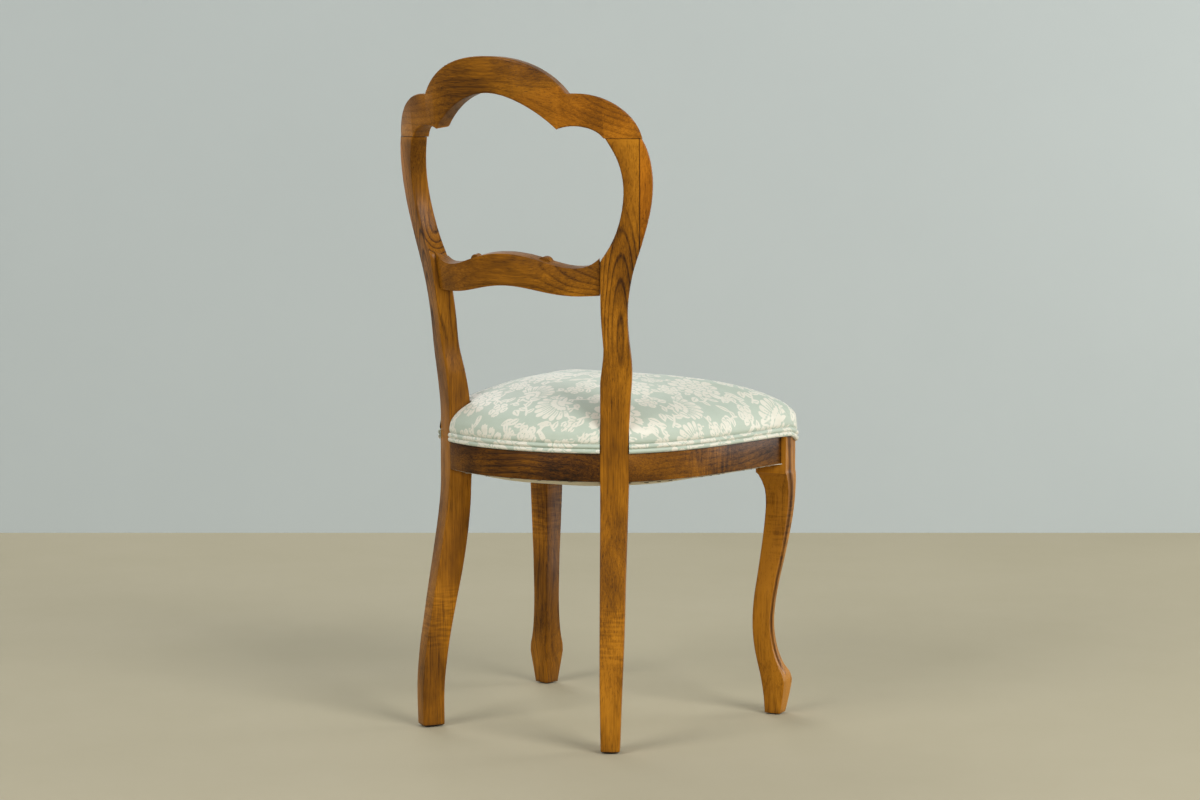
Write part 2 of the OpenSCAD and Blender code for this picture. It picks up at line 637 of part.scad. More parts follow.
// Everything outside the line that the cover is tacked to, above the wood that shows
module past_rebate() translate([0, 0, show_z]) linear_extrude(rail_h) difference() {
    square(4 * leg_depth, true);
    polygon([for (p = loop_ring(1, -rebate, 0)) [p[0], p[1]]]);
}
module front_leg(side) color(walnut) placed() difference() {
    at_knee(side) front_leg_blank();
    past_rebate();
}
module front_leg_blank() difference() {
    tube(concat(
        [for (u = steps(30)) leg_ring(cab(u, 1), cab(u, 2), glide_t + u * cab_len)],
        [leg_ring(-knee_half, cab(1, 2), cab_top + ledge_rise),
         leg_ring(-knee_half, knee_half, cab_top + block_margin / 2),
         leg_ring(-knee_half, knee_half, rail_top)]));
    knee_back_pins(fit);
    knee_side_pins(fit);
}
module front_leg_dowels() color(beech) placed() for (side = [-1, 1]) at_knee(side) {
    knee_back_pins(0);
    knee_side_pins(0);
}

// Corner blocks, glued and screwed into the four inner corners

block_drop = 6;
block_h = rail_h - 3 * block_drop;
// Reach of a rear block along the rear rail and the side rail, and of a front block along
// the side rail and the front rail, each as [outer, inner] shares of those rails
rear_reach_shares = [0.6, 0.56];
rear_side_shares = [0.3, 0.27];
front_side_share = 0.8;
front_reach_shares = [0.6, 0.62];
// Depth of a block's cut corner, as a share of the rails' thickness
block_in_share = 1.4;
// Places of the screws along the rear rail, the side rail twice, and the front rail
screw_shares = [0.7, 0.17, 0.87, 0.7];
// How far a screw's point stays inside the rail's outer face, as a share of rail_t
screw_end_share = 0.3;
module inner_plan() polygon(concat(
    [for (u = steps(12)) rear_arc(u * (stile_x + rail_t), rail_t + fit)],
    side_curve(rail_t + fit, 16, 0.1, 0.96),
    [front_arc(front_end[0], rail_t + fit), front_arc(0, rail_t + fit)]));
module rear_block_plan(side) mirror([side < 0 ? 1 : 0, 0]) difference() {
    intersection() {
        inner_plan();
        polygon([rear_arc(stile_x * rear_reach_shares[1], rail_t),
            rear_arc(stile_x * rear_reach_shares[0], -over),
            leg_point(block_w + over, over), bez(side_ctrl, rear_side_shares[0]),
            bez(side_ctrl, rear_side_shares[1])
                - block_in_share * rail_t * left_of(bez_dir(side_ctrl, rear_side_shares[1]))]);
    }
    translate([stile_x, 0]) rotate(-cant)
        translate([-fit, -block_t - fit]) square([block_w + 2 * fit, block_t + over]);
}
module front_block_plan(side) mirror([side < 0 ? 1 : 0, 0]) difference() {
    intersection() {
        inner_plan();
        polygon([bez(side_ctrl, front_side_share),
            bez(side_ctrl, front_side_share) + [over, 0], knee_point(over, over),
            front_arc(front_x * front_reach_shares[0], -over),
            front_arc(front_x * front_reach_shares[0], rail_t),
            front_arc(front_x * front_reach_shares[1], block_in_share * rail_t)]);
    }
    translate(leg_base) rotate(-front_turn)
        square([knee_w + 2 * fit, knee_w + 2 * fit], true);
}
module corner_block(rear) translate([0, 0, rail_z + 2 * block_drop]) linear_extrude(block_h)
    for (side = [-1, 1]) if (rear) rear_block_plan(side); else front_block_plan(side);
module corner_blocks_rear() color(beech) placed() difference() {
    corner_block(true);
    block_screws(fit);
}
module corner_blocks_front() color(beech) placed() difference() {
    corner_block(false);
    block_screws(fit);
}

screw_d = 4;
screw_len = 34;
head_d = 8;
head_h = 3;
// One screw along +y from its head at the origin
module screw(gap) rotate([-90, 0, 0]) {
    cylinder(d1 = head_d + 2 * gap, d2 = screw_d + 2 * gap, h = head_h, $fn = 24);
    cylinder(d = screw_d + 2 * gap, h = screw_len + gap, $fn = 24);
}
// Screws of the four blocks: through the block, square to each rail
module block_screws(gap) for (side = [-1, 1]) mirror([side < 0 ? 1 : 0, 0, 0])
    translate([0, 0, rail_z + 2 * block_drop + block_h / 2]) {
        rear_x = stile_x * screw_shares[0];
        screw_at(rear_arc(rear_x, 0), turn(-asin(rear_x / rear_radius), [0, 1]), gap);
        for (u = [screw_shares[1], screw_shares[2]])
            screw_at(bez(side_ctrl, u), left_of(bez_dir(side_ctrl, u)), gap);
        fore_x = front_x * screw_shares[3];
        screw_at(front_arc(fore_x, 0), turn(asin(fore_x / front_radius), [0, -1]), gap);
    }
// A screw that ends a little inside the outer face at p, coming along direction d
module screw_at(p, d, gap) translate(p - (screw_len + rail_t * screw_end_share) * d)
    rotate([0, 0, atan2(-d[0], d[1])]) {
        screw(gap);
        if (gap > 0) rotate([90, 0, 0]) cylinder(d = head_d + 2 * gap, h = over, $fn = 24);
    }
module corner_block_screws() color(steel) placed() block_screws(0);

// Webbing and its tacks, on the underside of the rails

web_edge = 11;
// Places of the straps: across as shares of stile_x, and in depth as shares of the
// part of the leg depth that the straps share
long_webs = [-0.54, 0, 0.54];
cross_webs = [-0.36, 0, 0.36];
web_depth_share = 0.78;
// Tacks of a strap: places across it, and in from the rail's outer face
web_pin_share = 0.36;
web_in_share = 0.62;
// Plan of the space that the webbing may cover
module web_plan() polygon([for (p = loop_ring(1, -web_edge, 0)) [p[0], p[1]]]);
function web_x(s) = s * stile_x;
function web_y(s) = seat_mid[1] + s * leg_depth * web_depth_share;
module webbing_lengthwise() color(jute) placed() difference() {
    translate([0, 0, rail_z - web_t]) linear_extrude(web_t) intersection() {
        web_plan();
        for (s = long_webs)
            translate([web_x(s) - web_w / 2, -2 * leg_depth]) square([web_w, 4 * leg_depth]);
    }
    web_tacks(fit);
}
module webbing_crosswise() color(jute) placed() difference() {
    translate([0, 0, rail_z - 2 * web_t]) linear_extrude(web_t) intersection() {
        web_plan();
        for (s = cross_webs)
            translate([-2 * front_x, web_y(s) - web_w / 2]) square([4 * front_x, web_w]);
    }
    web_tacks(fit);
}
tack_d = 1.6;
tack_len = 11;
tack_head_d = 6;
tack_head_h = 0.8;
// One tack driven upwards, its head's upper face at the origin
module tack(gap) {
    translate([0, 0, -tack_head_h]) cylinder(d = tack_head_d, h = tack_head_h, $fn = 16);
    translate([0, 0, -tack_head_h])
        cylinder(d = tack_d + 2 * gap, h = tack_head_h + tack_len + gap, $fn = 16);
}
module web_tacks(gap) translate([0, 0, rail_z]) {
    for (s = long_webs, k = [-1, 0, 1]) {
        x = web_x(s) + k * web_w * web_pin_share;
        translate([x, rear_arc(x, rail_t * web_in_share)[1], -web_t]) tack(gap);
        translate([x, front_arc(x, rail_t * web_in_share)[1], -web_t]) tack(gap);
    }
    for (s = cross_webs, k = [-1, 0, 1], side = [-1, 1]) {
        y = web_y(s) + k * web_w * web_pin_share;
        translate([side * (side_x(y) - rail_t * web_in_share), y, -2 * web_t]) tack(gap);
    }
}
// Place of the side rail's outer face at a depth
side_table = [for (p = flip(side_curve(0, 30))) [p[1], p[0]]];
function side_x(y) = lookup(y, side_table);
module webbing_tacks() color(steel) placed() web_tacks(0);

// Seat springs: waisted coils that stand on the webbing's crossings

coil_turns = 4;
ring_steps = 10;
ring_n = coil_turns * ring_steps;
spring_places = [[long_webs[0], cross_webs[0]], [long_webs[2], cross_webs[0]], [0, 0],
    [long_webs[0], cross_webs[2]], [long_webs[2], cross_webs[2]]];
// Waist of a spring, as a share of its end radius
waist_share = 0.72;
function coil_r(u) =
    spring_d / 2 * (waist_share + (1 - waist_share) * pow(abs(2 * u - 1), 1.5));
// Closed tube through rings of points
module tube(rings) {
    n = len(rings);
    m = len(rings[0]);
    pts = [for (r = rings) each r];
    sides = [for (i = [0 : n - 2], j = [0 : m - 1])
        let (k = (j + 1) % m, a = i * m + j, b = i * m + k, c = b + m, d = a + m)
        each norm(pts[a] - pts[c]) <= norm(pts[b] - pts[d]) + fit / 100
            ? [[a, b, c], [a, c, d]] : [[a, b, d], [b, c, d]]];
    start = [for (j = [1 : m - 2]) [0, j + 1, j]];
    end = [for (j = [1 : m - 2]) (n - 1) * m * [1, 1, 1] + [0, j, j + 1]];
    polyhedron(concat(pts), concat(sides, start, end));
}
module coil(h) tube([for (i = [0 : ring_n])
    let (u = i / ring_n, a = 90 + 360 * coil_turns * u, r = coil_r(u), w = wire_d / 2,
         z = w + (h - 2 * w) * u)
    [for (j = [0 : 5]) let (b = 60 * j)
        [(r + w * cos(b)) * cos(a), (r + w * cos(b)) * sin(a), z + w * sin(b)]]]);
module seat_springs() color(steel) placed() for (s = spring_places) {
    x = web_x(s[0]);
    y = web_y(s[1]);
    translate([x, y, rail_z + fit]) coil(canvas_z(rho_at([x, y])) - rail_z - 6 * fit);
}

// Soft layers, all on the seat's outline

// Share of the way from the seat's middle to its outline, for a point in plan
function rho_at(p) = (norm(p - seat_mid) + spring_d / 2) / (rear_apex - seat_mid[1]);
canvas_rise = 34;
canvas_t = 1;
canvas_edge_share = 0.84;
function canvas_z(rho) = rail_top + canvas_rise
    * (1 - pow(min(rho / canvas_edge_share, 1), 2));
// Dome of the finished seat
dome_foot = 7;
dome_base = show_z + dome_foot;
dome_h = crown_z - dome_base;
// Fullness of the dome: how late it falls off, how that grows with the reach of the
// outline, and how steeply it ends
fullness_shares = [1.5, 1.2, 0.4];
function dome_z(rho, reach = 1) = dome_base + dome_h * pow(1 - pow(rho,
    fullness_shares[0] * pow(reach, fullness_shares[1])), fullness_shares[2]);
// Reach of the outline from the seat's middle, as a share of its reach to the side
loop_reach = [for (p = seat_loop) norm(p - seat_mid) / (front_x + knee_half / 2)];
// A ring of the dome, let down by a length
function dome_ring(rho, out, down) =
    let (flat = loop_ring(rho, out, 0))
    [for (i = [0 : loop_n - 1]) [flat[i][0], flat[i][1], dome_z(rho, loop_reach[i]) - down]];
// Normal of the outline at each of its points
loop_normals = [for (i = [0 : loop_n - 1])
    let (a = seat_loop[(i + loop_n - 1) % loop_n], b = seat_loop[(i + 1) % loop_n])
    left_of(unit(b - a))];
// The outline drawn in towards the middle by a share, then moved out by a length
function loop_ring(rho, out, z) = [for (i = [0 : loop_n - 1])
    let (p = seat_mid + rho * (seat_loop[i] - seat_mid) + out * loop_normals[i])
    [p[0], p[1], z]];
// Room for the rear legs in the soft layers, as a share of their width at the seat
leg_room_share = 1.12;
module leg_room(side) at_leg(side) translate([-soft_gap, -block_t - soft_gap, 0]) {
    cube([block_w + 2 * soft_gap, block_t + over, joint_z]);
    translate([0, 0, block_hi])
        cube([block_w * leg_room_share + 2 * soft_gap, block_t + over, high_len]);
}
module both_legs_room() for (side = [-1, 1]) leg_room(side);

cover_t = 2.2;
// Gap between the domed layers of the seat
layer_gap = 3.2;
// Rings of the dome, of its underside and of the canvas, as shares of the way out
dome_shares = [0.985, 0.95, 0.89, 0.8, 0.66, 0.48, 0.25, 0.02];
inner_shares = [0.02, 0.3, 0.5, 0.68];
// How far the cover swells out over the welt, at its edge and at the dome
swell = 3;
swell_low = 2.6;
swell_mid = 3.2;
// Heights on the skirt: its turned-in foot and the run of the swell above the welt
skirt_foot = 1;
swell_from = 2;
swell_to = 7;
// How far the stuffing and its canvas end inside the tacked edge
edge_in = 2;
module seat_cover() color(damask) placed() difference() {
    tube(concat(
        [for (r = flip(dome_shares)) if (r < 0.9) dome_ring(r, 0, cover_t)],
        [dome_ring(dome_shares[0], -rebate, cover_t),
         loop_ring(1, soft_gap - rebate, rail_top + soft_gap),
         loop_ring(1, soft_gap - rebate, show_z + skirt_foot),
         loop_ring(1, skirt_out(), show_z + skirt_foot),
         loop_ring(1, skirt_out(), show_z + 2 * welt_d - skirt_foot),
         loop_ring(1, swell_low, show_z + 2 * welt_d + swell_from),
         loop_ring(1, swell_mid, show_z + 2 * welt_d + swell_to)],
        [for (r = dome_shares) dome_ring(r, swell, 0)]));
    both_legs_room();
}
module seat_stuffing() color(jute) placed() difference() {
    tube(concat(
        [for (r = inner_shares) loop_ring(r, 0, canvas_z(r) + canvas_t + layer_gap)],
        [loop_ring(canvas_edge_share, 0, rail_top + canvas_t + layer_gap),
         loop_ring(1, -rebate - edge_in, rail_top + canvas_t + 2 * soft_gap)],
        [for (r = dome_shares) if (r < 0.9)
            dome_ring(r, -soft_gap, cover_t + layer_gap)]));
    both_legs_room();
}
module spring_canvas() color(canvas) placed() difference() {
    tube(concat(
        [for (r = inner_shares) loop_ring(r, 0, canvas_z(r))],
        [loop_ring(canvas_edge_share, 0, rail_top + fit),
         loop_ring(1, -rebate - edge_in, rail_top + fit),
         loop_ring(1, -rebate - edge_in, rail_top + fit + canvas_t),
         loop_ring(canvas_edge_share, 0, rail_top + fit + canvas_t)],
        [for (r = flip(inner_shares)) loop_ring(r, 0, canvas_z(r) + canvas_t)]));
    both_legs_room();
}

// Dust cover: thin cloth tacked under the rails, sagging in the middle
dust_t = 0.8;
dust_drop = 2 * web_t + tack_head_h + soft_gap;
// Rings of the dust cover, as shares of the way out, and where its sag starts
dust_shares = [0.02, 0.4, 0.7];
dust_edge_share = 0.9;
function dust_z(rho) =
    rail_z - dust_drop - dust_sag * (1 - pow(rho / dust_edge_share, 2));
// Inset of its hem from the rails' faces, and of its bends from the webbing's ends
dust_hem = 3;
dust_bend = 4;
dust_fold = 0.2;
module dust_cover() color(cream) placed() difference() {
    tube(concat(
        [for (r = dust_shares) loop_ring(r, 0, dust_z(r) - dust_t)],
        [loop_ring(1, dust_fold + dust_t - web_edge, dust_z(dust_edge_share) - dust_t),
         loop_ring(1, dust_bend - web_edge, rail_z - fit - dust_t),
         loop_ring(1, -dust_hem, rail_z - fit - dust_t),
         loop_ring(1, -dust_hem, rail_z - fit),
         loop_ring(1, dust_bend - soft_gap - web_edge, rail_z - fit),
         loop_ring(1, dust_fold - web_edge, dust_z(dust_edge_share))],
        [for (r = flip(dust_shares)) loop_ring(r, 0, dust_z(r))]));
    both_legs_room();
    knee_room();
    dust_tacks(fit);
}
module knee_room() for (side = [-1, 1]) at_knee(side)
    translate([-knee_half - soft_gap, -knee_half - over, 0])
        cube([knee_w + over, knee_w + over + soft_gap, rail_top]);
// Tacks along the rails, just inside the edge of the dust cover
dust_tack_in = 5;
// Their places, along the rear and front rails and along the side rails
dust_tack_shares = [-0.7, -0.35, 0, 0.35, 0.7];
dust_side_shares = [0.14, 0.92];
module dust_tacks(gap) translate([0, 0, rail_z - fit - dust_t]) {
    for (s = dust_tack_shares) {
        rear = rear_arc(s * stile_x, dust_tack_in);
        front = front_arc(s * front_x, dust_tack_in);
        translate([rear[0], rear[1], 0]) tack(gap);
        translate([front[0], front[1], 0]) tack(gap);
    }
    for (side = [-1, 1], p = side_curve(dust_tack_in, 7, dust_side_shares[0], dust_side_shares[1]))
        translate([side * p[0], p[1], 0]) tack(gap);
}
module dust_cover_tacks() color(steel) placed() dust_tacks(0);

// Double welt round the foot of the cover, cut where the rear legs pass
neck = 75;
module welt() {
    r = welt_d / 2;
    out = skirt_out() + r + soft_gap / 2;
    low_z = show_z + r;
    high_z = low_z + 2 * r * sin(neck);
    turn_step = (180 + 2 * neck) / 6;
    tube_loop(concat(
        [for (i = [0 : 6]) let (b = i * turn_step - neck)
            loop_ring(1, out + r * cos(b), high_z + r * sin(b))],
        [for (i = [1 : 5]) let (b = i * turn_step + 180 - neck)
            loop_ring(1, out + r * cos(b), low_z + r * sin(b))]));
}
// Closed loop tube, from rings that run along the loop
module tube_loop(lines) {
    m = len(lines);
    n = len(lines[0]);
    pts = [for (l = lines) each l];
    faces = [for (i = [0 : m - 1], j = [0 : n - 1])
        let (a = (i + 1) % m, b = (j + 1) % n)
        each [[i * n + j, a * n + b, a * n + j], [i * n + j, i * n + b, a * n + b]]];
    polyhedron(pts, faces);
}
// Plan of the gap between the rear legs
function gap_edge(t) = [leg_point(t, 3 * over), leg_point(t, -block_t)];
module rear_gap(t) linear_extrude(joint_z)
    polygon(concat(gap_edge(t), mirrored(gap_edge(t))));
module double_welt_front() color(damask) placed() difference() {
    welt();
    both_legs_room();
    rear_gap(block_w / 2);
}
module double_welt_rear() color(damask) placed() intersection() {
    welt();
    rear_gap(-soft_gap);
}

// Glides under the feet

module foot_glides() color(rubber) placed() for (side = [-1, 1]) {
    at_leg(side) translate([low_mid(), back_at(glide_t) - depth_at(glide_t) / 2, 0])
        cylinder(d = glide_d, h = glide_t, $fn = 40);
    at_knee(side) cylinder(d = glide_d, h = glide_t, $fn = 40);
}

rear_leg(1);  // rear_leg_left
rear_leg(-1);  // rear_leg_right
stile_cheek(1);  // stile_cheek_left
stile_cheek(-1);  // stile_cheek_right
crest_rail();
crest_shoulder();  // crest_shoulder_right
crest_dowels();
cross_rail();
seat_rail_rear();
seat_rail_side(1);  // seat_rail_left
seat_rail_side(-1);  // seat_rail_right
seat_rail_front();
seat_rail_dowels();
front_leg_dowels();
front_leg(1);  // front_leg_left
front_leg(-1);  // front_leg_right
corner_blocks_rear();
corner_blocks_front();
corner_block_screws();
webbing_lengthwise();
webbing_crosswise();
webbing_tacks();
seat_springs();
spring_canvas();
seat_stuffing();
seat_cover();
double_welt_front();
double_welt_rear();
dust_cover();
dust_cover_tacks();
foot_glides();
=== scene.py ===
"""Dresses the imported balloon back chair: eased and polished walnut, and a sprung seat under
damask with a double welt. Lengths in metres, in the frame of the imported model."""

from contextlib import contextmanager
from functools import partial
import json
import math

import bmesh
import bpy
import numpy as np
from bpy.props import FloatProperty, PointerProperty, StringProperty
from mathutils.bvhtree import BVHTree
from mathutils import Matrix, Vector

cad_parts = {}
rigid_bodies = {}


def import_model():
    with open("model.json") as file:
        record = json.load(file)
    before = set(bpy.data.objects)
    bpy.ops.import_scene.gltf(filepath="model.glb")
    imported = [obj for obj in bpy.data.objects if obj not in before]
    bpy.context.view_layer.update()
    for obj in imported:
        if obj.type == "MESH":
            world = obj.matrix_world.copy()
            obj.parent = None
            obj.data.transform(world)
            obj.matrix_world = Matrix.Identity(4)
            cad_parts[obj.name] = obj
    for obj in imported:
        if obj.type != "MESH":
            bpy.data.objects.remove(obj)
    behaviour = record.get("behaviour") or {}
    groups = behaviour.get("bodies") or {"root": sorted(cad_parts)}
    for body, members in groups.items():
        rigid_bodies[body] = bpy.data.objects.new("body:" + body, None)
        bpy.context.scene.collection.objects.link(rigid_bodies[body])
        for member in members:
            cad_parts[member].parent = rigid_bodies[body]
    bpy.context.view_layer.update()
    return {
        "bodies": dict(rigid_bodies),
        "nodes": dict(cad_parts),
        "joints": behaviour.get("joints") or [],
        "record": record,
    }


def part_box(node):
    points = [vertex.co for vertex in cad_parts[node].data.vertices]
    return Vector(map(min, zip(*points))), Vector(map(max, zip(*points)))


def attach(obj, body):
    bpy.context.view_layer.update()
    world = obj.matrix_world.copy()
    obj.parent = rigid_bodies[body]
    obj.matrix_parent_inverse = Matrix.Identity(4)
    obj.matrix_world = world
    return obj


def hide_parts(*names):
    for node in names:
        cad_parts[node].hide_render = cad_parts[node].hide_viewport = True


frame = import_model()
bpy.ops.object.select_all(action="DESELECT")
NODES = frame["nodes"]

bl_info = {
    "name": "Balloon back chair",
    "version": (1, 0, 0),
    "blender": (4, 5, 0),
    "location": "3D View > Sidebar > Chair",
    "description": "Builds the walnut frame and the damask seat of a balloon back chair",
    "category": "Add Mesh",
}

MM = 0.001
SIDES = ((1, "left"), (-1, "right"))
GLUE_X = 0.0518  # a rear leg's glue line to its cheek, from the leg's inner face
GLUE_GAP = 0.00012  # the dark gap between two glued pieces


# Sizes and colours that a user would change


class ChairFrame(bpy.types.PropertyGroup):
    """Sizes of the walnut frame."""

    rear_span: FloatProperty(name="Rear span",
                             description="Between the rear legs' inner back corners",
                             default=0.2452, unit="LENGTH")
    cant: FloatProperty(name="Cant", description="Turn of the rear legs",
                        default=math.radians(32.5), subtype="ANGLE")
    front_turn: FloatProperty(name="Front turn", description="Turn of the front legs",
                              default=math.radians(10), subtype="ANGLE")
    front_span: FloatProperty(name="Front span", description="Between the front feet's middles",
                              default=0.3894, unit="LENGTH")
    leg_depth: FloatProperty(name="Leg depth",
                             description="Rear corners to the front feet's middles",
                             default=0.3247, unit="LENGTH")
    middle_y: FloatProperty(name="Middle",
                            description="Way from the rear corners' line to the origin",
                            default=0.13398, unit="LENGTH")
    joint_z: FloatProperty(name="Crest joint", description="Height of the joint of leg and crest",
                           default=0.8, unit="LENGTH")
    rail_z: FloatProperty(name="Rail", description="Underside of the seat rails",
                          default=0.353, unit="LENGTH")
    rail_h: FloatProperty(name="Rail height", description="Height of the seat rails",
                          default=0.053, unit="LENGTH")
    show_h: FloatProperty(name="Wood shown", description="Wood that shows under the upholstery",
                          default=0.037, unit="LENGTH")
    arris: FloatProperty(name="Arris", description="Radius of the eased edges",
                         default=0.0028, unit="LENGTH")
    foot_depth: FloatProperty(name="Foot depth",
                              description="How much deeper a rear foot is than the packed one",
                              default=0.0086, unit="LENGTH")
    front_nose: FloatProperty(name="Front corner",
                              description="Easing of a front leg's outer corner",
                              default=0.005, unit="LENGTH")
    cove_depth: FloatProperty(name="Cove", description="Depth of the cove along the front legs",
                              default=0.0024, unit="LENGTH")
    bead_step: FloatProperty(name="Set-down",
                             description="How far the face before the bead is set down",
                             default=0.0011, unit="LENGTH")
    joint_arris: FloatProperty(name="Joint arris", description="Radius of the edges at a joint",
                               default=0.0006, unit="LENGTH")


class ChairCloth(bpy.types.PropertyGroup):
    """Sizes of the seat and its cloth."""

    crown_z: FloatProperty(name="Crown", description="Height of the seat's crown",
                           default=0.481, unit="LENGTH")
    welt_d: FloatProperty(name="Welt", description="Diameter of one welt cord",
                          default=0.0064, unit="LENGTH")
    repeat_w: FloatProperty(name="Repeat width", description="Width of the damask's repeat",
                            default=0.18, unit="LENGTH")
    repeat_h: FloatProperty(name="Repeat height", description="Height of the damask's repeat",
                            default=0.19, unit="LENGTH")
    ground: StringProperty(name="Ground", description="Colour of the sage ground",
                           default="#BFCABA")
    figure: StringProperty(name="Figure", description="Colour of the cream figure",
                           default="#E9E6D8")


class ChairStage(bpy.types.PropertyGroup):
    """Camera and light."""

    lens: FloatProperty(name="Lens", description="Focal length", default=90.33, unit="CAMERA")
    camera_x: FloatProperty(name="Camera x", description="Camera's place to the left",
                            default=-2.327, unit="LENGTH")
    camera_y: FloatProperty(name="Camera y", description="Camera's place behind the chair",
                            default=3.3476, unit="LENGTH")
    camera_z: FloatProperty(name="Camera z", description="Camera's height",
                            default=0.855, unit="LENGTH")
    pitch: FloatProperty(name="Pitch", description="How far the camera looks down",
                         default=math.radians(5.78), subtype="ANGLE")
    heading: FloatProperty(name="Heading", description="Turn of the camera about the vertical",
                           default=math.radians(214.45), subtype="ANGLE")
    key_power: FloatProperty(name="Key", description="Power of the right softbox",
                             default=150.0, unit="POWER")
    fill_power: FloatProperty(name="Fill", description="Power of the left softbox",
                              default=105.0, unit="POWER")
    front_power: FloatProperty(name="Front light",
                               description="Power of the light before the chair",
                               default=45.0, unit="POWER")
    window_power: FloatProperty(name="Window", description="Power of the low light at the right",
                                default=40.0, unit="POWER")
    sky: FloatProperty(name="Sky", description="Strength of the room's light", default=0.3)


# Helpers


def linear(text):
    """sRGB hex to linear colour with alpha."""
    parts = [int(text[i:i + 2], 16) / 255 for i in (1, 3, 5)]
    return [p / 12.92 if p <= 0.04045 else ((p + 0.055) / 1.055) ** 2.4 for p in parts] + [1.0]


def socket(sockets, key):
    """A socket by place, identifier or name."""
    if isinstance(key, int):
        return sockets[key]
    for s in sockets:
        if s.identifier == key:
            return s
    return sockets[key]


def fill(tree, target, value):
    """Sets a socket, or links a node's first output, or a pair of node and output, into it."""
    if isinstance(value, bpy.types.Node):
        value = (value, 0)
    if isinstance(value, tuple) and isinstance(value[0], bpy.types.Node):
        tree.links.new(socket(value[0].outputs, value[1]), target)
    else:
        target.default_value = value


def add_node(tree, kind, *inputs, **settings):
    """Adds a shader node with its settings and links. Inputs fill its sockets by place, where
    None leaves one as it is. Settings fill its fields, or else its sockets by name."""
    node = tree.nodes.new("ShaderNode" + kind)
    sockets = dict(enumerate(inputs))
    for key, value in settings.items():
        if hasattr(node, key):
            setattr(node, key, value)
        else:
            sockets[key] = value
    for key, value in sockets.items():
        if value is not None:
            fill(tree, socket(node.inputs, key), value)
    return node


def new_material(name):
    """An empty material and its node tree."""
    material = bpy.data.materials.new(name)
    material.use_nodes = True
    material.node_tree.nodes.clear()
    return material, material.node_tree


def put_surface(tree, inputs):
    """Closes a material with a Principled shader, whose inputs go by name, and its output."""
    add_node(tree, "OutputMaterial", add_node(tree, "BsdfPrincipled", **inputs))


def put_ramp(node, stops):
    """Fills a colour ramp with [place, colour] stops."""
    ramp = node.color_ramp
    while len(ramp.elements) > 1:
        ramp.elements.remove(ramp.elements[-1])
    ramp.elements[0].position, ramp.elements[0].color = stops[0][0], stops[0][1]
    for place, colour in stops[1:]:
        ramp.elements.new(place).color = colour


def grey(v):
    """A grey level as a colour."""
    return [v, v, v, 1.0]


def dress(node_names, material):
    """Gives CAD nodes a material in all their slots."""
    for name in node_names:
        for s in NODES[name].material_slots:
            s.material = material


def repaint(obj, material):
    """Gives a new mesh one material."""
    obj.data.materials.clear()
    obj.data.materials.append(material)


def new_object(name, data):
    """Puts a mesh, a lamp or a camera into the scene."""
    obj = bpy.data.objects.new(name, data)
    bpy.context.scene.collection.objects.link(obj)
    return obj


def new_mesh(name, points, faces):
    """A mesh object of points and faces, at the origin."""
    mesh = bpy.data.meshes.new(name)
    mesh.from_pydata([tuple(p) for p in points], [], faces)
    mesh.update()
    return new_object(name, mesh)


def new_piece(name, points, faces, material, node, angle=35):
    """Makes a finished piece, which stands for a CAD node."""
    obj = new_mesh(name, points, faces)
    repaint(obj, material)
    smooth(obj, angle)
    settle(obj, node)
    return obj


def loft_faces(n_rings, n_points):
    """Quads between rings of points, with end caps."""
    faces = []
    for i in range(n_rings - 1):
        a, b = i * n_points, (i + 1) * n_points
        for j in range(n_points):
            k = (j + 1) % n_points
            faces.append((a + j, a + k, b + k, b + j))
    faces.append(tuple(reversed(range(n_points))))
    faces.append(tuple((n_rings - 1) * n_points + j for j in range(n_points)))
    return faces


def lofted(name, rings, material, node, angle=35):
    """Makes a finished piece through rings of points."""
    return new_piece(name, [p for ring in rings for p in ring],
                     loft_faces(len(rings), len(rings[0])), material, node, angle)


def smooth(obj, angle):
    """Smooth shading up to an angle between faces, in degrees."""
    bpy.ops.object.select_all(action="DESELECT")
    obj.select_set(True)
    bpy.context.view_layer.objects.active = obj
    bpy.ops.object.shade_smooth_by_angle(angle=math.radians(angle))
    obj.select_set(False)


def settle(obj, node):
    """Says what a finished piece rides on and stands for."""
    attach(obj, "root")
    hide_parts(node)


def apply_modifier(obj, kind, **settings):
    """Adds a modifier to an object and applies it."""
    bpy.context.view_layer.objects.active = obj
    obj.select_set(True)
    change = obj.modifiers.new("change", kind)
    for key, value in settings.items():
        setattr(change, key, value)
    bpy.ops.object.modifier_apply(modifier="change")
    obj.select_set(False)


@contextmanager
def edited(obj):
    """An object's mesh, open for edits in code, and written back after them."""
    bm = bmesh.new()
    bm.from_mesh(obj.data)
    yield bm
    bm.to_mesh(obj.data)
    bm.free()


def outwards(obj):
    """Merges a mesh's doubles and points its faces outwards."""
    with edited(obj) as bm:
        bmesh.ops.remove_doubles(bm, verts=bm.verts, dist=1e-6)
        bmesh.ops.recalc_face_normals(bm, faces=bm.faces)


def coordinates(mesh):
    """A mesh's points as rows of x, y and z."""
    co = np.zeros(len(mesh.vertices) * 3)
    mesh.vertices.foreach_get("co", co)
    return co.reshape(-1, 3)


def eased(corners, r):
    """A flat ring through corners that are rounded by one radius."""
    ring = []
    n, steps = len(corners), 5
    for i in range(n):
        p, a, b = Vector(corners[i]), Vector(corners[i - 1]), Vector(corners[(i + 1) % n])
        p0, p1 = p + (a - p).normalized() * r, p + (b - p).normalized() * r
        middle = (p0 + p1) / 2
        for j in range(steps + 1):
            u = j / steps
            curve = (1 - u) ** 2 * p0 + 2 * (1 - u) * u * p + u * u * p1
            # a quadratic stands a little outside the round arris, so it is drawn in
            ring.append(curve + (middle - p) * 0.18 * 4 * u * (1 - u) * 0.5)
    return ring


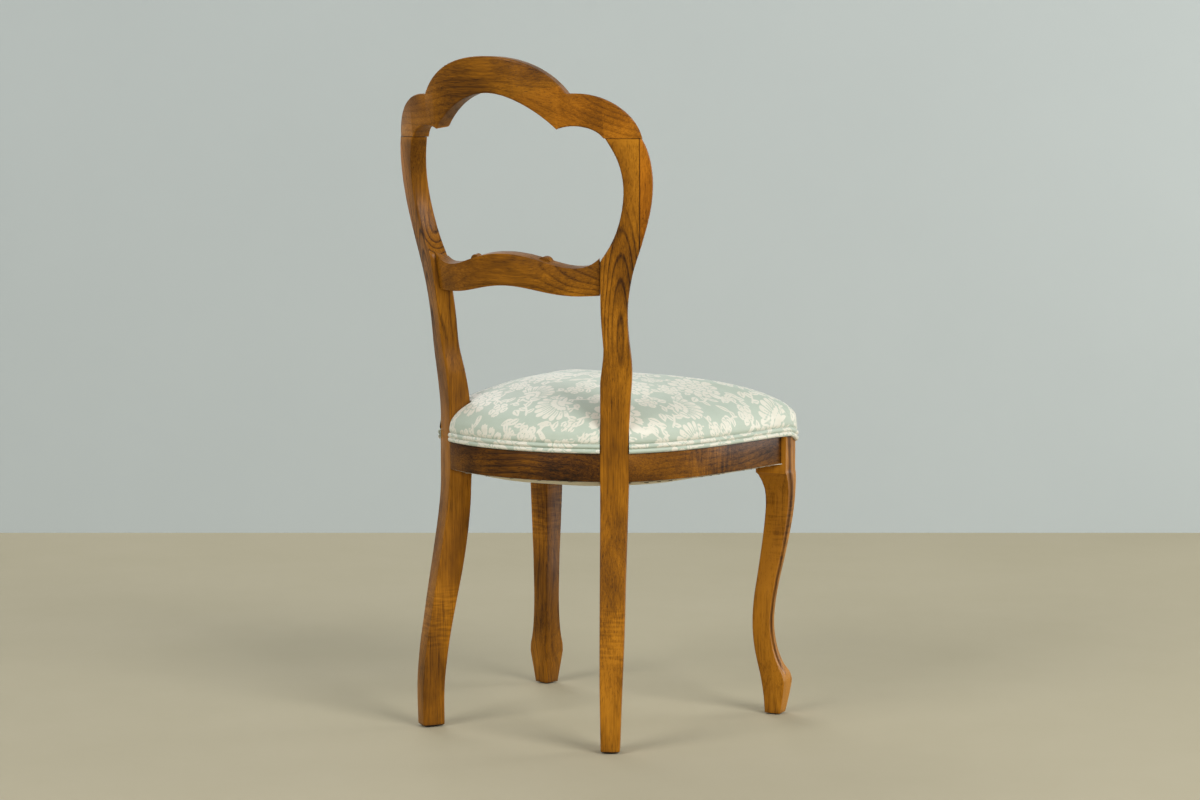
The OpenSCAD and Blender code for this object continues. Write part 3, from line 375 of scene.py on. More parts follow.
def ease_in(x, low, high):
    """0 below low, 1 above high, smooth between."""
    t = min(max((x - low) / (high - low), 0), 1)
    return t * t * (3 - 2 * t)


def bez(p, u):
    """Point of a cubic through its end points."""
    return ((1 - u) ** 3 * p[0] + 3 * (1 - u) ** 2 * u * p[1]
            + 3 * (1 - u) * u * u * p[2] + u ** 3 * p[3])


def bez_dir(p, u):
    """Direction of that cubic."""
    return ((1 - u) ** 2 * (p[1] - p[0]) + 2 * (1 - u) * u * (p[2] - p[1])
            + u * u * (p[3] - p[2])).normalized()


def show_z():
    """Height at which the upholstery starts."""
    f = bpy.context.scene.chair_frame
    return f.rail_z + f.show_h


def turned(angle, p):
    """A point in plan, turned about the origin."""
    c, s = math.cos(angle), math.sin(angle)
    return Vector((p[0] * c - p[1] * s, p[0] * s + p[1] * c))


def leg_frame(side):
    """Matrix from a rear leg's own frame to the chair's."""
    f = bpy.context.scene.chair_frame
    return (Matrix.Diagonal((side, 1, 1, 1))
            @ Matrix.Translation((f.rear_span / 2, f.middle_y, 0))
            @ Matrix.Rotation(-f.cant, 4, "Z"))


def knee_frame(side):
    """Matrix from a front leg's own frame to the chair's."""
    f = bpy.context.scene.chair_frame
    return (Matrix.Diagonal((side, 1, 1, 1))
            @ Matrix.Translation((f.front_span / 2, f.middle_y - f.leg_depth, 0))
            @ Matrix.Rotation(-f.front_turn, 4, "Z"))


class Slicer:
    """Reads where a CAD node's skin passes through level planes, in a frame of one's own."""

    def __init__(self, names, matrix):
        inverse = matrix.inverted()
        self.points, self.edges = [], []
        for name in names:
            mesh = NODES[name].data
            base = len(self.points)
            self.points += [inverse @ v.co for v in mesh.vertices]
            self.edges += [(base + e.vertices[0], base + e.vertices[1]) for e in mesh.edges]
        self.points = np.array([tuple(p) for p in self.points])
        self.edges = np.array(self.edges)

    def box(self, z):
        """Lowest and highest x and y of the skin at a height."""
        a, b = self.points[self.edges[:, 0]], self.points[self.edges[:, 1]]
        hit = (a[:, 2] - z) * (b[:, 2] - z) <= 0
        a, b = a[hit], b[hit]
        rise = b[:, 2] - a[:, 2]
        slopes = np.abs(rise) > 1e-9
        t = np.where(slopes, (z - a[:, 2]) / np.where(slopes, rise, 1), 0)
        p = a + (b - a) * t[:, None]
        return p[:, 0].min(), p[:, 0].max(), p[:, 1].min(), p[:, 1].max()


# Materials


def walnut(name, centre, turn, heart=(0.07, 0.05), rings=8.0, ring_depth=0.22, tone=0.0,
           bold=0.0, bold_z=(0.0, 1.0), curl=0.0, curl_z=(0.0, 1.0), worn=0.35, wander=0.03,
           joints=(), cove_shade_and_polish=0.0, seed=0.0, tint="#FFFFFF"):
    """Polished walnut: sawn along the piece's own z, stained warm and rubbed with shellac.
    The growth rings run round a heart beside the piece, so a curved face shows arches, which
    are bold in one stretch, as curly figure is in another. Heights are along the piece."""
    material, tree = new_material(name)
    node = partial(add_node, tree)
    local = node("Mapping", (node("TexCoord"), "Object"), centre, turn, vector_type="TEXTURE")
    along = node("SeparateXYZ", local)

    def fibrous(source, scale, detail=3.0, rough=0.6, offset=0.0):
        """A pattern drawn out along the grain. Its scale is in waves a metre."""
        way = node("Mapping", source, (seed + offset, seed - offset, offset), None, scale)
        return node("TexNoise", way, Scale=1.0, Detail=detail, Roughness=rough)

    def away_from(axis, at):
        """How far a point lies from a plane across one of the piece's axes."""
        return node("Math", node("Math", (along, axis), at, operation="SUBTRACT"),
                    operation="ABSOLUTE")

    def stretch(span, amount):
        """The amount within a stretch of the piece's length, falling to 0 at its ends."""
        middle, reach = (span[0] + span[1]) / 2, (span[1] - span[0]) / 2
        return node("MapRange", away_from("Z", middle), reach, reach * 0.5, 0.0, amount)

    # slow wander of the fibres, about 10 mm over 100 mm
    drift = fibrous(local, (9, 9, 4), 2.0)
    shift = node("VectorMath", (drift, "Color"), (wander, wander, 0.0),
                 (-wander / 2, -wander / 2, 0.0), operation="MULTIPLY_ADD")
    bent = node("VectorMath", local, shift, operation="ADD")
    # growth rings a few millimetres apart, stronger in some places
    from_heart = node("VectorMath", bent, (*heart, 0), operation="ADD")
    flat = node("VectorMath", from_heart, (1, 1, 0.02), operation="MULTIPLY")
    far = node("VectorMath", flat, operation="LENGTH")
    turns = node("Math", (far, "Value"), 1000 / rings, operation="MULTIPLY")
    late = node("ValToRGB", node("Math", turns, operation="FRACT"))
    put_ramp(late, [(0.0, grey(0.75)), (0.1, grey(0.1)), (0.45, grey(0.12)), (0.75, grey(0.4)),
                    (0.9, grey(1.0)), (1.0, grey(0.75))])
    strong = node("MapRange", fibrous(local, (14, 14, 6), 2.0, 0.5, 3.0), 0.35, 0.65,
                  ring_depth * 0.2, ring_depth)
    if bold > 0:
        strong = node("Math", strong, stretch(bold_z, bold), operation="ADD")
    # each part adds to how dark the wood is
    parts = [node("Math", late, strong, operation="MULTIPLY")]
    # fibres: streaks 2 mm wide and 120 mm long, and open pores half a millimetre wide
    parts.append(node("MapRange", fibrous(bent, (520, 520, 9), 3.0, 0.7), 0.3, 0.7, -0.16, 0.16))
    pore = node("MapRange", fibrous(bent, (1300, 1300, 38), 2.0, 0.6, 5.0), 0.55, 0.75, 0.0, 1.0)
    parts.append(node("Math", pore, 0.4, operation="MULTIPLY"))
    # cloudy tone from the stain and the heartwood, 40 to 120 mm across
    cloud = fibrous(bent, (17, 17, 8), 4.0, 0.55, 9.0)
    parts.append(node("MapRange", cloud, 0.3, 0.7, -0.27, 0.27))
    if curl > 0:
        # curly figure: ripples 4 mm apart across the grain
        ripple = node("MapRange", fibrous(local, (40, 40, 260), 1.0), 0.35, 0.65, -0.6, 0.4)
        parts.append(node("Math", ripple, stretch(curl_z, curl), operation="MULTIPLY"))
    # painted shade: ambient occlusion darkens hollows and joints, which also hold old polish and
    # dirt, and rubbed arrises are lighter
    hollow_shade_and_dirt = node("AmbientOcclusion", samples=8, Distance=0.012)
    parts.append(node("MapRange", hollow_shade_and_dirt, 0.8, 0.3, 0.0, 0.5))
    if worn > 0:
        proud = node("MapRange", (node("NewGeometry"), "Pointiness"), 0.52, 0.6, 0.0, -worn)
        free = node("MapRange", hollow_shade_and_dirt, 0.8, 0.95, 0.0, 1.0)
        parts.append(node("Math", proud, free, operation="MULTIPLY"))
    # painted shade and old polish in the front legs' cove, read from a per-point attribute
    if cove_shade_and_polish > 0:
        held = node("Attribute", attribute_name="cove_shade_and_polish")
        parts.append(node("Math", (held, "Fac"), cove_shade_and_polish, operation="MULTIPLY"))
    # old glue and dirt draw a dark line, about 1 mm wide, along a straight joint
    for axis, at in joints:
        parts.append(node("MapRange", away_from(axis, at), 0.0004, 0.0011, 0.55, 0.0))
    depth = parts[0]
    for part in parts[1:]:
        depth = node("Math", depth, part, operation="ADD")
    depth = node("Math", depth, 0.27 + tone, operation="ADD", use_clamp=True)
    stain = node("ValToRGB", depth)
    put_ramp(stain, [(0.0, linear("#B27419")), (0.28, linear("#8E590D")),
                     (0.55, linear("#6A4007")), (0.8, linear("#432506")),
                     (1.0, linear("#1F1003"))])
    # heartwood goes from golden to a cooler brown
    cooler = node("MapRange", fibrous(bent, (12, 12, 6), 2.0, 0.5, 13.0), 0.45, 0.7, 0.0, 1.0)
    hue = node("Mix", data_type="RGBA", Factor_Float=cooler, A_Color=linear(tint),
               B_Color=linear("#E0DCDA"))
    colour = node("Mix", data_type="RGBA", blend_type="MULTIPLY", Factor_Float=1.0,
                  A_Color=stain, B_Color=(hue, "Result_Color"))
    # rubbed shellac: a low shine that the open pores break
    put_surface(tree, {
        "Base Color": (colour, "Result_Color"),
        "Roughness": node("MapRange", depth, 0.1, 0.9, 0.32, 0.5),
        "Normal": node("Bump", Strength=0.3, Distance=0.0003, invert=True, Height=pore),
        "IOR": 1.45, "Specular IOR Level": 0.17, "Coat Weight": 0.07, "Coat Roughness": 0.2})
    return material


def plain_stuff(name, low, high, scale, stretch=(1, 1, 1), roughness=0.6, metal=0.0, bump=0.3,
                distance=0.0004):
    """A stuff whose colour wanders between two tones. The scale is in grains a metre."""
    material, tree = new_material(name)
    node = partial(add_node, tree)
    way = node("Mapping", (node("TexCoord"), "Object"), None, None, stretch)
    grain = node("TexNoise", way, Scale=scale, Detail=4.0, Roughness=0.65)
    colour = node("Mix", data_type="RGBA", Factor_Float=grain, A_Color=linear(low),
                  B_Color=linear(high))
    put_surface(tree, {
        "Base Color": (colour, "Result_Color"), "Roughness": roughness, "Metallic": metal,
        "Normal": node("Bump", Strength=bump, Distance=distance, Height=grain)})
    return material


# The frame's pieces


def rear_leg_rings(side, word):
    """Level rings of a rear leg with its cheek, in its own frame, as (z, corners, radius)."""
    f = bpy.context.scene.chair_frame
    cut = Slicer([f"rear_leg_{word}", f"stile_cheek_{word}"], leg_frame(side))
    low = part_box(f"rear_leg_{word}")[0].z
    # one ring just over the foot, then even ones that end just below the joint
    length = f.joint_z - low - 0.0017
    rings = []
    for z in [low + 0.0002] + [low + 0.0015 + length * i / 170 for i in range(171)]:
        x0, x1, y0, y1 = cut.box(z)
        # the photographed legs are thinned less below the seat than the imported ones
        more = f.foot_depth / 2 * ease_in(f.rail_z - z, -0.03, 0.2)
        y0, y1 = y0 - more, y1 + more
        # the arrises are sharper where the rails meet the leg
        away = max(f.rail_z - z, z - f.rail_z - f.rail_h, 0)
        r = f.joint_arris + (f.arris - f.joint_arris) * ease_in(away, 0.0, 0.025)
        rings.append((z, [(x0, y1), (x1, y1), (x1, y0), (x0, y0)], r))
    rings[0] = (low, *rings[0][1:])
    rings[-1] = (f.joint_z - GLUE_GAP, *rings[-1][1:])
    return rings


class CHAIR_OT_rear_legs(bpy.types.Operator):
    """Rear legs from foot to crest joint, each with its cheek glued to the outer edge"""

    bl_idname = "chair.rear_legs"
    bl_label = "Rear legs"

    def execute(self, context):
        f = context.scene.chair_frame
        for side, word in SIDES:
            place = leg_frame(side)
            rows = rear_leg_rings(side, word)
            rings = [[place @ Vector((*p, z)) for p in eased(corners, r)]
                     for z, corners, r in rows]
            at = ((side * f.rear_span / 2, f.middle_y, 0), (0, 0, -side * f.cant))
            joints = (("X", side * GLUE_X), ("Z", f.joint_z))
            # the heart runs upright behind the face, 18 mm deep at the elbow, which lies
            # 125 mm below the joint
            elbow = min(rows, key=lambda row: abs(row[0] - f.joint_z + 0.125))
            wood = walnut(f"walnut_rear_leg_{word}", *at,
                          heart=(-side * 0.027, 0.018 - elbow[1][0][1]), rings=4.0,
                          ring_depth=0.12, bold=0.4, bold_z=(0.5, 0.73), curl=0.25,
                          curl_z=(0.1, 0.2), wander=0.008, seed=3.0 + side, joints=joints)
            leg = lofted(f"rear_leg_{word}_wood", rings, wood, f"rear_leg_{word}")
            lighter = walnut(f"walnut_cheek_{word}", *at, heart=(side * 0.09, 0.02), rings=6.0,
                             joints=joints, seed=8.0, tint="#FFEFD8")
            split_cheek(leg, place, word, lighter)
        return {"FINISHED"}


def cut_away(obj, point, normal, keep_below):
    """Bisects a closed mesh by a plane and closes the cut."""
    with edited(obj) as bm:
        cut = bmesh.ops.bisect_plane(bm, geom=bm.verts[:] + bm.edges[:] + bm.faces[:], dist=1e-7,
                                     plane_co=point, plane_no=normal, clear_outer=keep_below,
                                     clear_inner=not keep_below)
        edges = [g for g in cut["geom_cut"] if isinstance(g, bmesh.types.BMEdge)]
        bmesh.ops.contextual_create(bm, geom=edges)
        bmesh.ops.recalc_face_normals(bm, faces=bm.faces)


def split_cheek(leg, place, word, material):
    """Parts the cheek from the leg along its glue line."""
    cheek = new_object(f"stile_cheek_{word}_wood", leg.data.copy())
    normal = (place.to_3x3() @ Vector((1, 0, 0))).normalized()
    point = place @ Vector((GLUE_X, 0, 0))
    for obj, below in ((cheek, False), (leg, True)):
        cut_away(obj, point + normal * GLUE_GAP / 2 * (-1 if below else 1), normal, below)
        smooth(obj, 35)
    repaint(cheek, material)
    settle(cheek, f"stile_cheek_{word}")


class Crest:
    """Outlines and sections of the crest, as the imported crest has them."""

    rise, tilt, thick = 0.1063, math.radians(8.5), 0.024
    # curves in shares of the half width and the rise: the upper line's arch and shoulder, the
    # lower line's inner curve and lobe, and the right shoulder's glue line
    arch = [(0, 1), (0.267, 1), (0.472, 0.828), (0.582, 0.513)]
    shoulder = [(0.582, 0.513), (0.79, 0.53), (0.975, 0.28)]
    inner = [(0, 0.546), (0.154, 0.546), (0.349, 0.376), (0.497, 0.083)]
    lobe = [(0.497, 0.083), (0.574, 0.141), (0.749, 0.132)]
    scarf = [(0.19, 0.42), (0.215, 0.49), (0.3, 0.55), (0.42, 0.59), (0.53, 0.602), (0.6, 0.602)]

    def __init__(self):
        f = bpy.context.scene.chair_frame
        place = leg_frame(1)
        cut = Slicer(["rear_leg_left", "stile_cheek_left"], place)
        x0, x1, _, y1 = cut.box(f.joint_z - 0.0005)
        outer, inner = place @ Vector((x1, y1, 0)), place @ Vector((x0, y1, 0))
        join = (outer + inner) / 2
        self.radius = join.x / math.sin(f.cant)
        self.apex = join.y + self.radius * (1 - math.cos(f.cant))
        self.lean = Matrix.Translation((0, self.apex, f.joint_z)) @ Matrix.Rotation(
            -self.tilt, 4, "X")
        self.half, self.inner_half = outer.x, inner.x
        self.top = self.line(self.arch, 60) + self.line(
            self.shoulder + [(1, self.drop(self.half) / self.rise)], 60)[1:]
        self.low = self.line(self.inner, 60) + self.line(
            self.lobe + [(self.inner_half / self.half,
                          2 * self.drop(self.inner_half) / self.rise)], 60)[1:]

    def drop(self, x):
        """How much the crest's lean lowers a point of its bow."""
        return -(self.radius - math.sqrt(self.radius ** 2 - x * x)) * math.sin(self.tilt)

    def line(self, rows, n):
        """A curve through shares of the half width and the rise."""
        p = [Vector((x * self.half, z * self.rise)) for x, z in rows]
        return [bez(p, i / n) for i in range(n + 1)]

    def height(self, line, x):
        """Height of a line at a place across."""
        return float(np.interp(x, [p.x for p in line], [p.y for p in line]))

    def section(self, x, side, r):
        """Eased section of the crest, square to its bow, in the chair's frame."""
        angle = math.asin(x / self.radius)
        low = -self.rise if x > self.inner_half else self.height(self.low, x)
        top = self.height(self.top, x)
        corners = [(self.radius, low), (self.radius - self.thick, low),
                   (self.radius - self.thick, top - self.thick * math.tan(self.tilt)),
                   (self.radius, top)]
        return [self.lean @ Vector((side * p.x * math.sin(angle),
                                    p.x * math.cos(angle) - self.radius, p.y))
                for p in eased(corners, r)]


class CHAIR_OT_crest(bpy.types.Operator):
    """Crest rail with its lobes and cusps, and the right shoulder scarfed to it"""

    bl_idname = "chair.crest"
    bl_label = "Crest"

    def execute(self, context):
        f = context.scene.chair_frame
        crest = Crest()
        cusp, notch = crest.inner[-1][0] * crest.half, crest.arch[-1][0] * crest.half
        half = ([cusp * i / 36 for i in range(37)]
                + [cusp + (notch - cusp) * i / 8 for i in range(1, 9)]
                + self.crowded(notch, crest.inner_half, 34)
                + self.crowded(crest.inner_half, crest.half - 2e-5, 30))
        columns = [(x, -1) for x in reversed(half)] + [(x, 1) for x in half if x > 0]
        wood = walnut("walnut_crest", (0.02, 0.2, 0.86), (0, math.radians(90), 0),
                      heart=(0.09, 0.03), rings=9.0, seed=5.0, tone=0.1)
        rail = lofted("crest_rail_wood", [crest.section(x, side, f.arris) for x, side in columns],
                      wood, "crest_rail")
        cut_away(rail, Vector((0, 0, f.joint_z + GLUE_GAP)), Vector((0, 0, 1)), False)
        self.part_shoulder(rail, crest)
        return {"FINISHED"}

    def crowded(self, a, b, n):
        """Places from a to b that crowd towards b, where the line turns steep."""
        return [a + (1 - (1 - i / n) ** 2) * (b - a) for i in range(1, n + 1)]

    def part_shoulder(self, rail, crest):
        """Cuts the right shoulder off along its curved glue line."""
        scarf = [(crest.scarf[0][0] * crest.half, -crest.rise)]
        scarf += [(x * crest.half, z * crest.rise) for x, z in crest.scarf]
        last = crest.scarf[-1][1] * crest.rise
        scarf += [(2 * crest.half, last), (2 * crest.half, -crest.rise)]
        deep = crest.radius
        points = [crest.lean @ Vector((-x, y, z)) for y in (-deep, deep) for x, z in scarf]
        cutter = new_mesh("scarf_cutter", points, loft_faces(2, len(scarf)))
        outwards(cutter)
        shoulder = new_object("crest_shoulder_right_wood", rail.data.copy())
        for obj, how in ((rail, "DIFFERENCE"), (shoulder, "INTERSECT")):
            apply_modifier(obj, "BOOLEAN", operation=how, object=cutter, solver="EXACT")
            outwards(obj)
            smooth(obj, 35)
        bpy.data.objects.remove(cutter)
        repaint(shoulder, walnut("walnut_crest_shoulder", (-0.1, 0.2, 0.83),
                                 (0, math.radians(78), 0), rings=7.0, seed=11.0, tone=-0.04,
                                 tint="#FFF4EA"))
        settle(shoulder, "crest_shoulder_right")


class CHAIR_OT_cross_rail(bpy.types.Operator):
    """Bowed cross rail with its hump, dips and carved scroll ears"""

    bl_idname = "chair.cross_rail"
    bl_label = "Cross rail"

    def execute(self, context):
        wood = walnut("walnut_cross_rail", (0.0, 0.16, 0.62), (0, math.radians(90), 0),
                      heart=(0.03, 0.04), rings=6.0, ring_depth=0.3, worn=0.0, seed=14.0,
                      tone=-0.02)
        eased_copy("cross_rail", wood, "walnut", 0.0022)
        return {"FINISHED"}


class CHAIR_OT_seat_rails(bpy.types.Operator):
    """Seat rails, with a small easing on their lower arrises"""

    bl_idname = "chair.seat_rails"
    bl_label = "Seat rails"

    def execute(self, context):
        for name, centre, turn in (
                ("seat_rail_rear", (0, 0.14, 0.38), 0), ("seat_rail_front", (0, -0.2, 0.38), 0),
                ("seat_rail_left", (0.2, 0, 0.38), 80), ("seat_rail_right", (-0.2, 0, 0.38), 100)):
            wood = walnut(f"walnut_{name}", centre, (0, math.radians(90), math.radians(turn)),
                          heart=(0.12, 0.03), seed=20.0 + turn * 0.01,
                          tone=0.26 if turn else 0.42, curl=0.25 if turn == 100 else 0.0,
                          curl_z=(-0.07, 0.05), worn=0.0)
            eased_copy(name, wood, "walnut", 0.0006)
        return {"FINISHED"}


def eased_copy(name, material, slot, radius):
    """A copy of a CAD node whose long sharp edges are eased, and which stands for the node."""
    stuff = {"walnut": "wood", "stuffing": "fibre"}.get(slot, slot)
    obj = new_object(f"{name}_{stuff}", NODES[name].data.copy())
    with edited(obj) as bm:
        bmesh.ops.remove_doubles(bm, verts=bm.verts, dist=2e-6)
        bmesh.ops.dissolve_limit(bm, angle_limit=math.radians(0.4), verts=bm.verts,
                                 edges=bm.edges)
        sharp = [e for e in bm.edges if len(e.link_faces) == 2
                 and e.calc_face_angle(0) > math.radians(40)]
        bmesh.ops.bevel(bm, geom=sharp, offset=radius, offset_type="OFFSET", segments=3,
                        profile=0.5, affect="EDGES", clamp_overlap=True)
    repaint(obj, material)
    smooth(obj, 40)
    settle(obj, name)
    return obj


class CHAIR_OT_front_legs(bpy.types.Operator):
    """Cabriole front legs with a cove and a bead along both outer faces"""

    bl_idname = "chair.front_legs"
    bl_label = "Front legs"

    block_drop = 0.0138  # the square block ends this far below the rails
    toe = 0.049  # cove and bead run out at this height, over the toe
    set_in = 0.0042  # both outer faces step in by this under the cloth

    def execute(self, context):
        f = context.scene.chair_frame
        block, show = f.rail_z - self.block_drop, show_z()
        for side, word in SIDES:
            place = knee_frame(side)
            cut = Slicer([f"front_leg_{word}"], place)
            low, high = (c.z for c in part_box(f"front_leg_{word}"))
            shank, head = block - 0.0004 - low - 0.001, show - block - 0.002
            heights = ([low] + [low + 0.001 + shank * i / 120 for i in range(121)]
                       + [block + 0.0003] + [block + 0.002 + head * i / 16 for i in range(17)])
            rings, cove_shade_and_polish = [], []
            for z in heights:
                cove_shade_and_polish += self.cove_shade_and_polish(z)
                x0, x1, y0, y1 = cut.box(min(max(z, low + 0.0003), show - 0.0003))
                rings.append([place @ Vector((*p, z))
                              for p in self.section(x0, x1, -y1, -y0, z)])
            x0, x1, y0, y1 = cut.box(show - 0.0003)
            for z in (show, high):
                cove_shade_and_polish += self.cove_shade_and_polish(show)
                rings.append([place @ Vector((min(p[0], x1 - self.set_in),
                                              max(p[1], y0 + self.set_in), z))
                              for p in self.section(x0, x1, -y1, -y0, show)])
            wood = walnut(f"walnut_front_leg_{word}", (side * 0.195, -0.19, 0),
                          (0, 0, -side * f.front_turn), heart=(0.08, 0.03), curl=0.25,
                          curl_z=(0.2, 0.32), cove_shade_and_polish=0.55, seed=30.0 + side,
                          tone=side * 0.13 - 0.07, worn=0.12)
            leg = lofted(f"front_leg_{word}_wood", rings, wood, f"front_leg_{word}")
            # the cove's painted shade and old polish, one value a point
            held = leg.data.attributes.new("cove_shade_and_polish", "FLOAT", "POINT")
            held.data.foreach_set("value", cove_shade_and_polish)
        return {"FINISHED"}

    def worked(self, z):
        """How deep cove and bead are worked at a height, from 0 at the toe to 1."""
        return ease_in(z, self.toe - 0.002, self.toe + 0.024)

    def profile(self, z):
        """Cove, bead and set-down face across an outer face, as (share of its width, depth)."""
        f = bpy.context.scene.chair_frame
        cove, step = f.cove_depth * self.worked(z), f.bead_step * self.worked(z)
        rows = []
        for i in range(13):
            u = i / 12
            rows.append((0.03 + 0.4 * u, cove * max(math.sin(math.pi * u) ** 0.75,
                                                    0.14 * ease_in(u, 0.8, 1))))
        for i in range(1, 11):
            u = i / 10
            # a half round: up from the cove, over its crown and down to the set-down face
            rise = math.sqrt(max(1 - (2 * u - 1) ** 2, 0))
            rows.append((0.43 + 0.225 * u, ((1 - u) * 0.14 * cove + u * step) * (1 - rise)))
        return rows + [(0.7, step), (0.76, step * 0.97)]

    def cove_shade_and_polish(self, z):
        """How dark a ring's points are painted, for the shade in the cove and the old polish held
        there: most where cove and bead meet.
        """
        face = [self.worked(z) * (math.exp(-((t - 0.4) / 0.09) ** 2)
                                  + 0.6 * math.exp(-((t - 0.67) / 0.03) ** 2))
                for t, _ in self.profile(z)]
        return [0.0] * 8 + face + [0.0] * 9 + face[::-1] + [0.0] * 2

    def section(self, a, b, c, d, z):
        """Ring of a front leg: a to b across, and c to d to the front, both from the inner
        corner to the outer one. The cove and the bead run along both outer faces."""
        f = bpy.context.scene.chair_frame
        nose = f.front_nose * max(self.worked(z), 0.4)
        step = f.bead_step * self.worked(z) * 0.95
        r = f.arris * 0.8
        profile = self.profile(z)
        ring = []
        for i in range(6):
            u = i / 5 * math.pi / 2
            ring.append((a + r - r * math.cos(u), -c - r + r * math.sin(u)))
        ring += [(b - 0.0009, -c), (b - 0.0002, -c - 0.0003)]
        ring += [(b - q, -c - t * (b - a)) for t, q in profile]
        x1, y1 = b - step, -d + step
        for i in range(9):
            u = i / 8 * math.pi / 2
            ring.append((x1 - nose + nose * math.cos(u), y1 + nose - nose * math.sin(u)))
        ring += [(a + t * (b - a), -d + q) for t, q in reversed(profile)]
        return ring + [(a + 0.0003, -d + 0.0002), (a, -d + 0.0009)]


# The hidden joinery


class CHAIR_OT_joinery(bpy.types.Operator):
    """Dowels, corner blocks and screws inside the frame, tacks and glides"""

    bl_idname = "chair.joinery"
    bl_label = "Joinery"

    def execute(self, context):
        # turned beech: pale, plain, with short flecks along the grain
        beech = plain_stuff("beech_turned", "#B98F5A", "#D9B883", 160, (1, 1, 0.15))
        # zinc plated steel screws: pale grey, with a clean shine
        screws = plain_stuff("steel_zinc_plated", "#9A9EA3", "#B9BDC2", 300, roughness=0.35,
                             metal=1.0, bump=0.1)
        # blued steel tacks: nearly black, with a dull shine
        tacks = plain_stuff("steel_blued", "#2C3036", "#454A52", 400, roughness=0.4, metal=1.0,
                            bump=0.1)
        # moulded dark polyamide glides: nearly black, scuffed to a soft sheen
        glides = plain_stuff("polyamide_glide", "#1E1B18", "#39332D", 200, roughness=0.55)
        # tinned steel tacks, dull and pale
        tinned = plain_stuff("steel_tinned", "#A9A08C", "#C6BDA8", 400, metal=1.0, bump=0.1)
        dress(["crest_dowels", "seat_rail_dowels", "front_leg_dowels", "corner_blocks_rear",
               "corner_blocks_front"], beech)
        dress(["corner_block_screws"], screws)
        dress(["webbing_tacks"], tacks)
        dress(["dust_cover_tacks"], tinned)
        dress(["foot_glides"], glides)
        return {"FINISHED"}


# The seat


class SeatPlan:
    """Outline of the seat in plan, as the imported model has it."""

    rear_radius, front_radius = 0.25, 0.73
    block_w, block_t = 0.0373, 0.031  # a rear leg's width and depth at the seat
    knee_half, lip = 0.02235, 0.00655  # half a front leg's width, and its corner's easing
    sag = 2.8  # cover and welt hang down by this much of their bulge
    # handles of the side's curve: lengths as shares of its chord, and directions
    handle_shares = (0.302, 0.345)
    handle_turns = (math.radians(-51.5), math.radians(-86))

    def __init__(self):
        f = bpy.context.scene.chair_frame
        self.f = f
        stile = f.rear_span / 2
        k = self.knee_half
        self.rear_apex = self.rear_radius * (1 - math.cos(math.asin(stile / self.rear_radius)))
        self.base = Vector((f.front_span / 2, -f.leg_depth))
        start = Vector((stile, 0)) + turned(-f.cant, (self.block_w, 0))
        end = self.knee(k - self.lip, -k)
        chord = (end - start).length
        first, last = (chord * share * turned(turn, (1, 0))
                       for share, turn in zip(self.handle_shares, self.handle_turns))
        self.side = [start, start + first, end - last, end]
        front_end = self.knee(-k, k - self.lip)
        self.front_apex = front_end.y - (self.front_radius - math.sqrt(
            self.front_radius ** 2 - front_end.x ** 2))
        self.mid = Vector((0, -f.leg_depth / 2))
        soft = 0.35 * self.lip
        half = [self.rear(stile * i / 10) for i in range(11)]
        half.append(Vector((stile, 0)) + turned(-f.cant, (self.block_w * 0.5, 0)))
        half += [bez(self.side, 0.94 * i / 30) for i in range(31)]
        half += [self.knee(k, -k + self.lip), self.knee(k, 0), self.knee(k - soft, k - self.lip),
                 self.knee(k - self.lip, k - soft), self.knee(0, k), self.knee(-k + self.lip, k)]
        half += [self.front((1 - i / 10) * 0.94 * front_end.x) for i in range(11)]
        self.loop = half + [Vector((-p.x, p.y)) for p in reversed(half[1:-1])]
        angles = [math.atan2((p - self.mid).x, (p - self.mid).y) for p in self.loop]
        reach = [(p - self.mid).length for p in self.loop]
        order = np.argsort(angles)
        a, r = np.array(angles)[order], np.array(reach)[order]
        grid = np.linspace(-math.pi, math.pi, 1441)
        table = np.interp(grid, np.concatenate([a - 2 * math.pi, a, a + 2 * math.pi]),
                          np.concatenate([r, r, r]))
        # the cloth rounds off the outline's corners over about 12 mm
        width = 9
        window = np.hanning(2 * width + 1)
        window /= window.sum()
        padded = np.concatenate([table[-width - 1:-1], table, table[1:width + 1]])
        self.grid, self.reach = grid, np.convolve(padded, window, "valid")

    def knee(self, o, fwd):
        """A point at the left front leg's block, outwards and forwards of its middle."""
        return self.base + turned(-self.f.front_turn, (o, -fwd))

    def rear(self, x):
        """A point of the outline's arc between the rear legs."""
        a = math.asin(x / self.rear_radius)
        return Vector((x, self.rear_apex - self.rear_radius + self.rear_radius * math.cos(a)))

    def front(self, x):
        """A point of the outline's arc between the front legs."""
        a = math.asin(x / self.front_radius)
        return Vector((self.front_radius * math.sin(a),
                       self.front_apex + self.front_radius * (1 - math.cos(a))))

    def out(self, angle):
        """Distance of the outline from the seat's middle, at azimuths from the back."""
        return np.interp((angle + math.pi) % (2 * math.pi) - math.pi, self.grid, self.reach)

    def corner_away(self, angle):
        """Azimuth from the nearer front corner."""
        p = self.knee(self.knee_half, self.knee_half) - self.mid
        return np.abs(np.abs((angle + math.pi) % (2 * math.pi) - math.pi) - math.atan2(p.x, p.y))

    def bulge(self, angle):
        """How far cover and welt stand out over a front leg's corner: 3.4 mm at most."""
        return 0.0034 * np.exp(-(self.corner_away(angle) / 0.06) ** 2)

    def to_xyz(self, angle, dist, z):
        """Points at azimuth and distance from the middle, in the chair's frame."""
        return np.stack([self.mid.x + np.sin(angle) * dist,
                         self.f.middle_y + self.mid.y + np.cos(angle) * dist,
                         np.broadcast_to(z, np.shape(dist))], -1)


